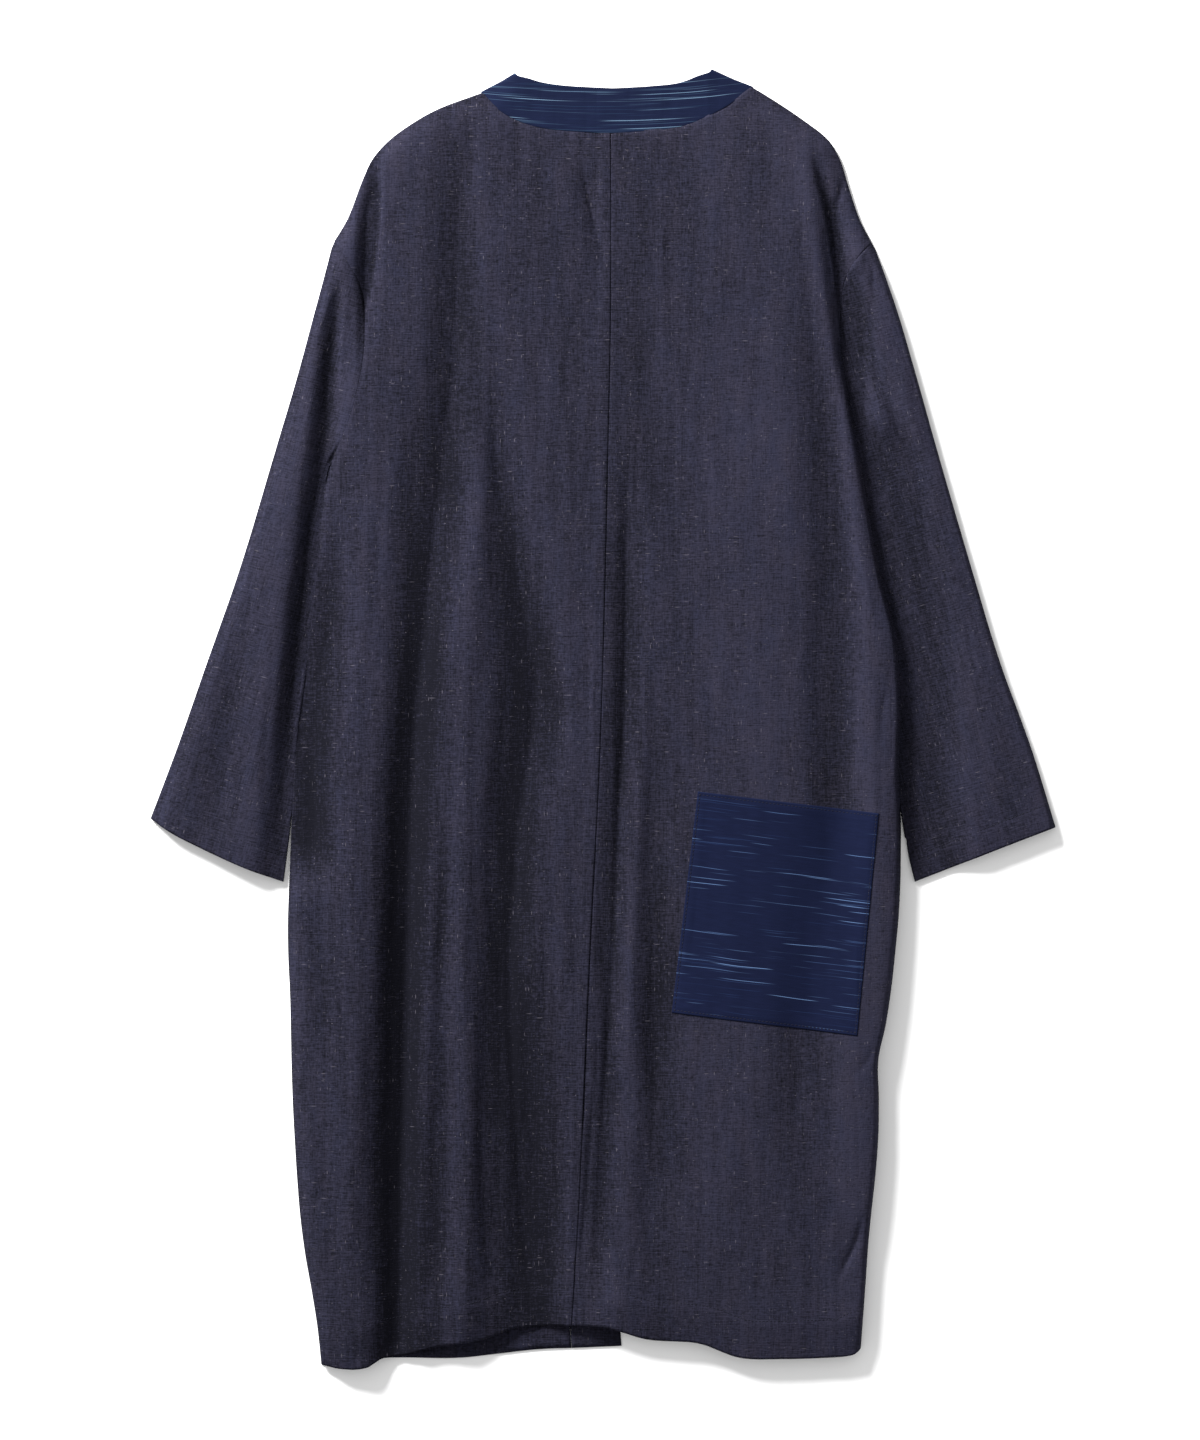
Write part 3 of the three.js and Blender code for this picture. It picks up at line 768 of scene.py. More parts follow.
@dataclass(frozen=True)
class Kasuri:
    """Indigo cotton whose weft was tied off before dyeing, so that it leaves fine pale dashes.

    The eye sees a deep blue ground, broken rows of pale blue dashes that end softly, crowded in some
    places and missing in others, and a very fine, even weave.
    """

    name: str
    ground: str
    deep: str
    dash: str
    pale: str
    crowds: Table  # x, y, width, height and weight of each crowded place, below 0 for a bare one
    few: float  # threshold of the dashes: more is fewer
    dash_length: float
    wave: float  # how far a weft row wanders from a straight line
    seed: float
    bow: float = 0.0  # how much it bends up to both sides, for each metre squared
    row: float = 0.95  # a weft yarn is 0.5 mm; a dash is drawn as wide as a bunch of them looks
    crowded_rows: float = 0.36  # how much the rows differ in their number of dashes
    roughness: float = 0.85
    specular: float = 0.03
    bump: float = 0.00015

    def build(self) -> bpy.types.Material:
        """Make the material.

        Returns:
            The finished material.
        """
        material, tree, shader = blank_material(self.name, self.roughness, self.specular)
        flat = add(tree, "ShaderNodeUVMap", uv_map="cloth")
        along, level = add(tree, "ShaderNodeSeparateXYZ", (flat,)).node.outputs[:2]
        place = (along, level)
        wave = cloth_noise(tree, flat, 70.0, 50.0, 1.0)
        bent = add(tree, MATH, (along, along), operation="MULTIPLY")
        level = add(tree, MATH, (wave, self.wave * MM, level), operation="MULTIPLY_ADD")
        level = add(tree, MATH, (bent, -self.bow, level), operation="MULTIPLY_ADD")
        row = add(tree, MATH, (level, self.row * MM), operation="DIVIDE")
        whole = add(tree, MATH, (row,), operation="FLOOR")
        whole = add(tree, MATH, (whole, self.seed), operation="ADD")
        within = add(tree, MATH, (row,), operation="FRACT")
        busy = self._random(tree, whole, 17.7)
        dashes = self._dashes(tree, along, whole)
        dashes = add(tree, MATH, (busy, self.crowded_rows, dashes), operation="MULTIPLY_ADD")
        dashes = add(tree, MATH, (dashes, self._crowding(tree, place)), operation="ADD")
        limits = (self.few, self.few + 0.2, 0.0, 1.0)
        shown = add(tree, RANGE, (dashes, *limits), interpolation_type="SMOOTHSTEP")
        middle = add(tree, MATH, (within, 2.0, -1.0), operation="MULTIPLY_ADD")
        middle = add(tree, MATH, (middle,), operation="ABSOLUTE")
        narrow = add(tree, RANGE, (middle, 0.1, 0.75, 1.0, 0.0), interpolation_type="SMOOTHSTEP")
        strength = self._random(tree, whole, 51.3)
        strength = add(tree, MATH, (strength, strength), operation="MULTIPLY")
        cover = add(tree, MATH, (strength, 0.75, 0.25), operation="MULTIPLY_ADD")
        for share in (narrow, cover):
            shown = add(tree, MATH, (shown, share), operation="MULTIPLY")
        shade = cloth_noise(tree, flat, 16.0, 1.6)
        dash = {0: strength, 6: linear(self.dash), 7: linear(self.pale)}
        dash = add(tree, MIX, dash, 2, data_type="RGBA")
        ground = {0: shade, 6: linear(self.deep), 7: linear(self.ground)}
        ground = add(tree, MIX, ground, 2, data_type="RGBA")
        colour = add(tree, MIX, {0: shown, 6: ground, 7: dash}, 2, data_type="RGBA")
        fine = cloth_noise(tree, flat, 1.2, 1.2, 1.0)
        relief = {"Strength": 0.5, "Distance": self.bump, "Height": fine}
        tree.links.new(colour, shader.inputs["Base Color"])
        tree.links.new(add(tree, "ShaderNodeBump", relief), shader.inputs["Normal"])
        return material

    @staticmethod
    def _random(tree: bpy.types.NodeTree, whole: Any, offset: float) -> Any:
        """A random value for each weft row."""
        shifted = add(tree, MATH, (whole, offset), operation="ADD")
        return add(tree, "ShaderNodeTexWhiteNoise", {"W": shifted}, noise_dimensions="1D")

    def _dashes(self, tree: bpy.types.NodeTree, along: Any, whole: Any) -> Any:
        """A soft random value that changes along each weft row, and jumps from row to row."""
        steps = add(tree, MATH, (along, self.dash_length * MM), operation="DIVIDE")
        start = self._random(tree, whole, 0.0)
        shifted = add(tree, MATH, (start, 97.0, steps), operation="MULTIPLY_ADD")
        values = {"W": shifted, "Scale": 1.0, "Detail": 1.0, "Roughness": 0.5}
        return add(tree, "ShaderNodeTexNoise", values, "Fac", noise_dimensions="1D")

    def _crowding(self, tree: bpy.types.NodeTree, place: Sequence[Any]) -> Any:
        """What the crowded places add to the dashes: each is a soft oval on the cloth."""
        total: Any = 0.0
        for x, y, width, height, weight in self.crowds:
            far: Any = 0.0
            for socket, middle, size in zip(place, (x, y), (width, height)):
                share = add(tree, MATH, (socket, middle * MM), operation="SUBTRACT")
                share = add(tree, MATH, (share, size * MM), operation="DIVIDE")
                far = add(tree, MATH, (share, share, far), operation="MULTIPLY_ADD")
            spot = add(tree, RANGE, (far, 0.0, 1.6, weight, 0.0), interpolation_type="SMOOTHSTEP")
            total = add(tree, MATH, (spot, total), operation="ADD")
        return total


@dataclass(frozen=True)
class SewingThread:
    """Spun polyester sewing thread in navy, a little shinier than the cloth."""

    name: str = "sewing_thread"
    dark: str = "#0c0c14"
    light: str = "#1a1a27"
    roughness: float = 0.7
    specular: float = 0.15

    def build(self) -> bpy.types.Material:
        """Make the material: navy that varies softly from stitch to stitch.

        Returns:
            The finished material.
        """
        material, tree, shader = blank_material(self.name, self.roughness, self.specular)
        place = add(tree, "ShaderNodeTexCoord", (), "Object")
        noise = {"Vector": place, "Scale": 300.0, "Detail": 1.0}
        noise = add(tree, "ShaderNodeTexNoise", noise, "Fac")
        colour = {0: noise, 6: linear(self.dark), 7: linear(self.light)}
        colour = add(tree, MIX, colour, 2, data_type="RGBA")
        tree.links.new(colour, shader.inputs["Base Color"])
        return material


@dataclass(frozen=True)
class StudioFloor:
    """A smooth, matt, near-white studio floor."""

    name: str = "studio_floor"
    colour: str = "#f4f4f4"
    roughness: float = 0.9
    specular: float = 0.1

    def build(self) -> bpy.types.Material:
        """Make the plain material."""
        material, _, shader = blank_material(self.name, self.roughness, self.specular)
        shader.inputs["Base Color"].default_value = linear(self.colour)
        return material


BAND_COTTON = Kasuri(
    "kasuri_band_cotton", "#10152a", "#0b1021", "#233a52", "#617a90",
    crowds=((-40, 548, 100, 16, 0.10), (60, 552, 80, 18, 0.06)),
    few=0.79, dash_length=110.0, wave=1.5, seed=3.0, bow=0.5,
)

PATCH_COTTON = Kasuri(
    "kasuri_patch_cotton", "#0f142a", "#0b0f21", "#21345a", "#566f94",
    crowds=(
        (20, -24, 60, 30, 0.07), (20, -84, 60, 16, -0.14), (62, -84, 90, 22, 0.05),
        (160, -70, 16, 120, 0.05), (30, -168, 64, 26, 0.06), (132, -160, 40, 50, 0.04),
        (118, -24, 44, 26, -0.08), (90, -130, 50, 22, -0.06),
    ),
    few=0.845, dash_length=80.0, wave=3.0, seed=11.0,
)


@dataclass
class Finishes:
    """The coat's finished materials, made once."""

    denim: bpy.types.Material = field(default_factory=LinenDenim().build)
    band: bpy.types.Material = field(default_factory=BAND_COTTON.build)
    patch: bpy.types.Material = field(default_factory=PATCH_COTTON.build)
    thread: bpy.types.Material = field(default_factory=SewingThread().build)


# The coat's creases -------------------------------------------------------------------------------

# Each row of a fold is x, y, height and half width, and a leaning fold has two half widths.

LEFT_CREASES = (
    # the bottom of the long valley
    sharp(
        (-134, 541, 0, 5), (-131, 477, -1.2, 6), (-133, 400, -1.6, 7), (-138, 310, -2, 7),
        (-151, 201, -2.2, 7), (-163, 90, -2.4, 7), (-172, 0, -2.6, 6), (-178, -100, -2.6, 5),
        (-181, -220, -2.8, 5), (-184, -351, -3, 5), (-186, -443, -3, 5), (-187, -572, -2, 6),
    ),
    # the broad lobe left of it
    soft(
        (-218, 30, 0, 18), (-223, -60, 1.6, 20), (-228, -160, 3.2, 20), (-236, -320, 3.2, 20),
        (-246, -480, 2.2, 20), (-248, -580, 0, 20),
    ),
    soft((-206, -240, 0, 12), (-207, -350, -3.0, 13), (-209, -460, -4.5, 14), (-210, -580, -3.0, 14)),
    # the upper valley reaches further left than its bottom
    soft(
        (-166, 340, 0, 10), (-172, 260, -2.2, 12), (-179, 200, -3.6, 12), (-186, 110, -2.4, 12),
        (-192, 30, 0, 12),
    ),
    # its low inner step and the small roll on that step
    soft(
        (-146, -90, 0, 6), (-146, -200, -2.4, 6), (-150, -350, -3.6, 8), (-154, -480, -5, 10),
        (-158, -585, -2, 10),
    ),
    soft((-160, -60, 0, 7), (-160, -200, 1.8, 7), (-166, -320, 1.2, 7), (-170, -420, 0, 7)),
    # crest of the narrow ridge
    soft(
        (-126, 260, 0, 5), (-125, 150, 0.2, 6), (-128, -160, 1.2, 5), (-132, -305, 0.4, 5),
        (-135, -450, 0.2, 6), (-137, -560, 0, 6),
    ),
    soft((-134, -250, 0, 8), (-136, -340, -3.2, 9), (-139, -480, -4.2, 10), (-140, -575, -1.5, 10)),
    soft((-130, 290, 0, 9), (-129, 210, -4.6, 12), (-131, 130, -2.0, 10), (-132, 60, 0, 10)),
    # the second valley: the short creases over it, and its bottom
    sharp((-122, 400, 0, 3), (-118, 350, -1.8, 4), (-113, 300, -1.6, 5), (-108, 250, 0, 5)),
    sharp((-106, 330, 0, 3), (-101, 270, -1.4, 4), (-96, 215, -1.6, 5), (-88, 170, 0, 5)),
    sharp(
        (-90, 230, 0, 5), (-76, 120, -1.6, 6), (-62, 40, -2, 7), (-66, -20, -1.8, 7),
        (-78, -100, -1.8, 6), (-86, -220, -1.8, 5), (-83, -330, -1.8, 5), (-76, -440, -2, 6),
        (-66, -560, 0, 8),
    ),
    soft((-103, 60, 0, 6), (-104, 0, 1.6, 7), (-108, -60, 1.4, 6), (-112, -110, 0, 6)),
    sharp((-112, -300, 0, 4), (-112, -380, -1.6, 5), (-110, -460, -1.8, 5), (-106, -540, 0, 6)),
    sharp((-50, -380, 0, 5), (-48, -440, -1.4, 6), (-46, -510, -1.6, 7), (-44, -556, 0, 8)),
    soft((-60, 90, 0, 12), (-48, 10, -3.5, 14), (-52, -80, -2, 13), (-64, -160, 0, 12)),
    leaning(
        (-58, -220, 0, 28, 14), (-50, -320, -7.5, 32, 22), (-45, -480, -8, 38, 22), (-43, -585, -4, 36, 20),
    ),
    soft((-86, -240, 0, 10), (-84, -330, 3.5, 12), (-79, -480, 3, 12), (-76, -570, 1, 12)),
    # short crease beside the neck
    sharp(
        (-19, 511, 0, 2.5), (-16, 490, -1.6, 3), (-11, 468, -1.8, 3), (-7, 448, -1.6, 3),
        (-1, 427, -1.4, 3), (2, 392, 0, 4),
    ),
    # bottom of the valley that follows the centre-back seam below the waist
    sharp((-6, -302, 0, 3.5), (-11, -380, -1.8, 4), (-18, -470, -2, 4), (-22, -520, 0, 5)),
    # dents under the shoulder
    soft((-122, 555, 0, 5), (-121, 520, -0.9, 6), (-124, 480, 0, 6)),
    soft((-190, 484, 0, 5), (-192, 455, -0.9, 6), (-190, 425, 0, 6)),
    leaning(
        (-206, 530, 0, 6, 2), (-206, 504, -5.0, 9, 2), (-207, 466, -9.5, 11, 2.2),
        (-210, 430, -9.5, 10, 2.2), (-214, 402, -7.5, 8, 2.2), (-218, 378, -4.8, 5, 2),
        (-220, 340, -2.6, 4, 2), (-223, 300, 0, 3, 2),
    ),
    soft(
        (-224, 508, 0, 6), (-228, 470, 1.4, 7), (-231, 436, 1.6, 7), (-234, 404, 0.8, 7), (-235, 380, 0, 6),
    ),
    # small creases of worn linen
    sharp((-238, 120, 0, 2.5), (-234, 96, -1.0, 3), (-226, 70, -0.9, 3), (-220, 52, 0, 3)),
    sharp((-216, -30, 0, 2.5), (-222, -56, -0.9, 3), (-231, -78, 0, 3)),
    sharp((-250, -210, 0, 3), (-243, -240, -1.1, 3), (-238, -275, -1.0, 3), (-238, -305, 0, 3)),
    sharp((-262, -380, 0, 3), (-254, -402, -1.2, 3.5), (-240, -420, 0, 3.5)),
    sharp((-205, 250, 0, 3), (-203, 200, -0.9, 4), (-208, 140, -0.8, 4), (-206, 90, 0, 4)),
    sharp((-60, 330, 0, 3), (-58, 290, -0.8, 3.5), (-62, 240, -0.7, 3.5), (-60, 205, 0, 4)),
    sharp((-38, 60, 0, 3), (-40, 10, -1.0, 3.5), (-44, -48, -1.0, 3.5), (-42, -90, 0, 4)),
    sharp((-58, -150, 0, 3), (-54, -196, -1.1, 3), (-54, -250, -1.1, 3), (-56, -300, 0, 3)),
    soft((-36, -120, 0, 6), (-37, -200, 1.2, 7), (-38, -320, 1.5, 8), (-36, -430, 0, 8)),
    soft((-30, 260, 0, 8), (-32, 180, 1.0, 9), (-34, 60, 1.0, 9), (-30, -40, 0, 8)),
)

RIGHT_CREASES = (
    # the broad swell of the right half
    leaning(
        (140, 560, 0, 50, 70), (146, 440, 4.0, 58, 80), (150, 200, 6.0, 60, 90), (150, -60, 5.2, 60, 90),
        (142, -300, 5.2, 58, 90), (126, -480, 5.0, 54, 90), (122, -560, 1.5, 50, 80),
    ),
    # bottom of the valley that follows the centre-back seam above the waist
    sharp(
        (22, 240, 0, 4), (21, 163, -1.4, 4), (21, 72, -1.8, 4), (20, 0, -2, 4), (15, -80, -2, 4),
        (12, -160, -2, 4), (8, -240, -2, 4), (4, -310, -1.8, 4), (-2, -380, 0, 4),
    ),
    soft((30, -91, 0, 6), (27, -197, 0.4, 6), (22, -290, 0, 6)),
    soft((18, -260, 0, 9), (14, -350, -3.4, 11), (9, -480, -3.0, 11), (4, -570, 0, 10)),
    soft(
        (15, -60, 0, 6), (12, -160, 1.5, 6), (6, -250, 1.4, 7), (-4, -350, 1.8, 7), (-11, -450, 1.6, 7),
        (-15, -560, 0, 7),
    ),
    sharp(
        (46, 40, 0, 4), (44, -28, -0.8, 4), (43, -134, -0.7, 5), (46, -218, -0.8, 5),
        (49, -302, -0.8, 5), (47, -366, -0.8, 5), (44, -460, 0, 6),
    ),
    soft((45, -40, 0, 8), (43, -134, 1.6, 8), (46, -218, 1.6, 8), (48, -300, 0, 8)),
    # soft folds under the shoulder and down the right
    soft((148, 566, 0, 6), (151, 530, -1.0, 7), (154, 492, 0, 7)),
    soft((86, 520, 0, 8), (85, 450, -0.9, 9), (84, 390, -0.8, 9), (84, 345, 0, 9)),
    soft((204, 380, 0, 8), (206, 230, -0.4, 10), (212, 110, 0.8, 12), (216, 20, 1.0, 12), (216, -60, 0, 9)),
    soft((234, 220, 0, 8), (236, 130, 1.0, 9), (238, 0, 1.2, 9), (240, -90, 0, 9)),
    soft((66, -330, 0, 9), (62, -420, -1.2, 10), (64, -520, 0, 10)),
    soft((26, -280, 0, 8), (24, -350, -2.2, 9), (20, -430, -1.0, 9), (16, -500, 0, 8)),
    soft((118, -320, 0, 9), (116, -420, 1.2, 11), (112, -530, 0, 11)),
    sharp((178, -300, 0, 5), (180, -350, -0.5, 6), (182, -420, -0.9, 6), (178, -470, 0, 6)),
    # the shoulder's fold edge that stands over the sleeve, and the deep trough beside it
    soft(
        (184, 530, 0, 6), (189, 490, 1.8, 7), (197, 440, 2.6, 8), (202, 390, 3.2, 8),
        (211, 330, 3.6, 8), (219, 290, 3.4, 8), (228, 230, 3.4, 8), (239, 160, 3.0, 9),
        (250, 80, 1.0, 9), (257, 0, 0.2, 9), (260, -90, 0.4, 9), (260, -180, 0, 9),
    ),
    leaning(
        (192, 524, 0, 2, 5), (198, 498, -3.6, 2.2, 7), (208, 456, -7.5, 2.2, 10),
        (215, 415, -9.5, 2.2, 12), (219, 380, -10, 2.4, 13), (223, 335, -9, 2.6, 14),
        (228, 292, -6.0, 3, 13), (236, 240, -2, 3, 11), (244, 190, 0, 3, 10),
    ),
    sharp((222, 503, 0, 3), (218, 482, -2.8, 4), (213, 462, -3.2, 4.5), (207, 440, 0, 4)),
    # slanting folds by the right side and the hem
    sharp((239, -455, 0, 3), (233, -478, -2.0, 4), (224, -498, -2.2, 4), (214, -518, 0, 4)),
    soft((246, -452, 0, 4), (240, -486, 1.4, 5), (230, -512, 0, 5)),
    sharp((262, 40, 0, 3), (257, 10, -1.0, 3), (254, -28, 0, 3)),
    sharp((250, -300, 0, 3), (240, -318, -1.3, 3.5), (226, -330, 0, 4)),
    # small creases of worn linen
    sharp((110, 420, 0, 3), (118, 380, -0.7, 3.5), (120, 330, 0, 3.5)),
    sharp((60, 300, 0, 3), (64, 250, -0.8, 3.5), (62, 180, -0.7, 3.5), (66, 120, 0, 3.5)),
    sharp((150, 250, 0, 3), (146, 190, -0.7, 4), (150, 120, 0, 4)),
    sharp((98, 60, 0, 3), (102, 0, -0.8, 3.5), (100, -60, 0, 3.5)),
    sharp((178, 180, 0, 3), (176, 120, -0.8, 3.5), (180, 50, 0, 3.5)),
    sharp((30, -480, 0, 3), (26, -510, -1.0, 3.5), (24, -545, 0, 4)),
    sharp((146, -340, 0, 3), (150, -390, -0.8, 3.5), (146, -440, 0, 3.5)),
    sharp((92, -350, 0, 3), (88, -410, -0.9, 3.5), (90, -470, 0, 3.5)),
)

LEFT_SLEEVE_CREASES = (
    leaning(
        (-243, 412, 0, 4, 4), (-244, 385, -4.6, 6, 4), (-247, 345, -7.5, 9, 4), (-250, 305, -8.0, 10, 4.5),
        (-254, 255, -7.5, 11, 10), (-258, 215, -6.5, 12, 24), (-263, 160, -5.5, 12, 24),
        (-269, 110, -5.0, 12, 18), (-281, 20, -2.5, 10, 10), (-290, -40, 0, 8, 8),
    ),
    # roll that shades the strip beside the body
    leaning(
        (-257, 350, 0, 8, 6), (-263, 290, 2.5, 12, 7), (-273, 220, 5.0, 20, 9), (-290, 120, 6.0, 26, 10),
        (-306, 0, 6.0, 28, 11), (-318, -90, 5.0, 26, 12), (-324, -145, 3.0, 24, 12),
    ),
    sharp((-303, 40, 0, 4), (-308, 0, -1.2, 5), (-311, -60, -1.2, 5), (-308, -120, 0, 5)),
    sharp((-316, 180, 0, 3), (-322, 140, -1.0, 4), (-326, 92, -1.0, 4), (-334, 40, 0, 4)),
    sharp((-330, -40, 0, 3), (-336, -74, -0.8, 3.5), (-338, -110, 0, 4)),
    soft((-372, 0, 0, 6), (-374, -40, 1.0, 8), (-376, -90, 0, 8)),
)

RIGHT_SLEEVE_CREASES = (
    sharp(
        (250, 411, 0, 2.5), (246, 362, -2.8, 4.5), (252, 313, -2.8, 5), (268, 276, -2.2, 4),
        (288, 223, -2.0, 4), (295, 182, -1.8, 5), (304, 126, -1.6, 5), (318, 95, -1.2, 5), (329, 61, 0, 5),
    ),
    # gathers at the top of the sleeve
    sharp((242, 428, 0, 1.5), (240, 412, -0.9, 2), (238, 398, 0, 2)),
    sharp((247, 426, 0, 1.5), (248, 408, -0.9, 2), (247, 386, 0, 2)),
    sharp((254, 412, 0, 1.5), (254, 392, -0.7, 2), (256, 368, 0, 2.5)),
    # deep trough along the body's fold edge
    soft(
        (226, 415, 0, 8), (230, 380, -6, 12), (234, 335, -6.5, 12), (240, 290, -5.5, 11),
        (248, 240, -3.0, 8), (256, 200, 0, 8),
    ),
    soft((270, 330, 0, 5), (284, 280, 1.4, 6), (302, 220, 1.4, 7), (316, 170, 0, 8)),
    sharp((330, 120, 0, 3), (336, 80, -1.0, 4), (342, 30, 0, 4)),
    sharp((318, 40, 0, 3), (320, 0, -0.9, 4), (324, -50, 0, 4)),
    soft((356, 20, 0, 7), (360, -30, 1.0, 9), (366, -90, 0, 9)),
    sharp((334, -60, 0, 3), (332, -96, -0.8, 4), (334, -128, 0, 4)),
)

CREASES = LEFT_CREASES + RIGHT_CREASES + LEFT_SLEEVE_CREASES + RIGHT_SLEEVE_CREASES

BAND_CREASES = (
    soft((-70, 583, 0, 4), (-64, 560, -0.5, 5), (-58, 545, 0, 5)),
    soft((60, 583, 0, 4), (62, 565, -0.5, 5), (60, 548, 0, 5)),
    soft((-4, 579, 0, 6), (0, 560, 0.5, 8), (2, 542, 0, 8)),
)


def creased(points: Array, folds: Sequence[Fold]) -> Array:
    """Add up what a list of folds does to the height of each point."""
    return sum((one.heights(points) for one in folds), np.zeros(len(points)))


def linen_crumple(points: Array) -> Array:
    """Small uneven hills and soft ridges of linen that was washed and pressed.

    Args:
        points: Places on the coat.

    Returns:
        One height for each point.
    """
    seed = 11
    hills = 0.4 * crumple(points, 30, 150, seed) + 0.22 * crumple(points, 13, 70, seed + 1)
    ridges = (1 - np.abs(crumple(points, 22, 110, seed + 2))) ** 4
    gate = step_up(crumple(points, 70, 130, seed + 3), -0.3, 0.4)
    narrow = (1 - np.abs(crumple(points, 10, 80, seed + 5))) ** 3
    # the lower left was sat on, and has more of the narrow upright creases
    pressed = 0.2 + 0.55 * step_up(-points[:, 1], 0, 260) * (1 - step_up(points[:, 0], -60, 30))
    fine = 0.11 * crumple(points, 5, 14, seed + 4)
    return hills + 0.5 * ridges * gate - pressed * narrow + fine


def tone_by_place(points: Array) -> Array:
    """How much lighter or darker each point is made: lighter on the right of the back, darker low on the
    left.

    Args:
        points: Places on the coat.

    Returns:
        One share for each point, to be added to the rubbed wear and painted shade of the folds.
    """
    darker_low_left = (1 - step_up(points[:, 0], -105, -10)) * step_up(-points[:, 1], -300, 20)
    lighter_right = step_up(points[:, 0], 30, 120) * (1 - step_up(points[:, 0], 235, 290))
    return 0.4 * lighter_right - 0.95 * darker_low_left


# The pieces of the coat ---------------------------------------------------------------------------


@dataclass
class ClothPiece:
    """What every sewn piece of the coat has: its node, its finish and its cut."""

    node: str
    slot: str
    material: bpy.types.Material
    flat: tuple[float, float]  # width and length of the cut, in metres
    area: float  # area of the cut, in square metres
    rests_on: tuple[str, ...]

    @property
    def name(self) -> str:
        """Name of the piece's object."""
        return f"{self.node}_cloth"

    def dress(self, piece: bpy.types.Object) -> None:
        """Args:
            piece: The piece's object.
        """
        piece.data.materials.clear()
        piece.data.materials.append(self.material)
        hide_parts(self.node)
        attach(piece, BODY)
        list(self.rests_on)
        LOG.info("%s: %d faces", piece.name, len(piece.data.polygons))


def turned_hem(gap: Array, depth: float, thick: float, groove: float) -> Array:
    """What a turned-up hem adds: a strip as wide as its depth, and a groove for its stitches."""
    strip = thick * (1 - step_up(gap, depth - STITCH_INSET, depth + STITCH_INSET))
    return strip - groove * bell(gap - depth + STITCH_INSET, 1.6)


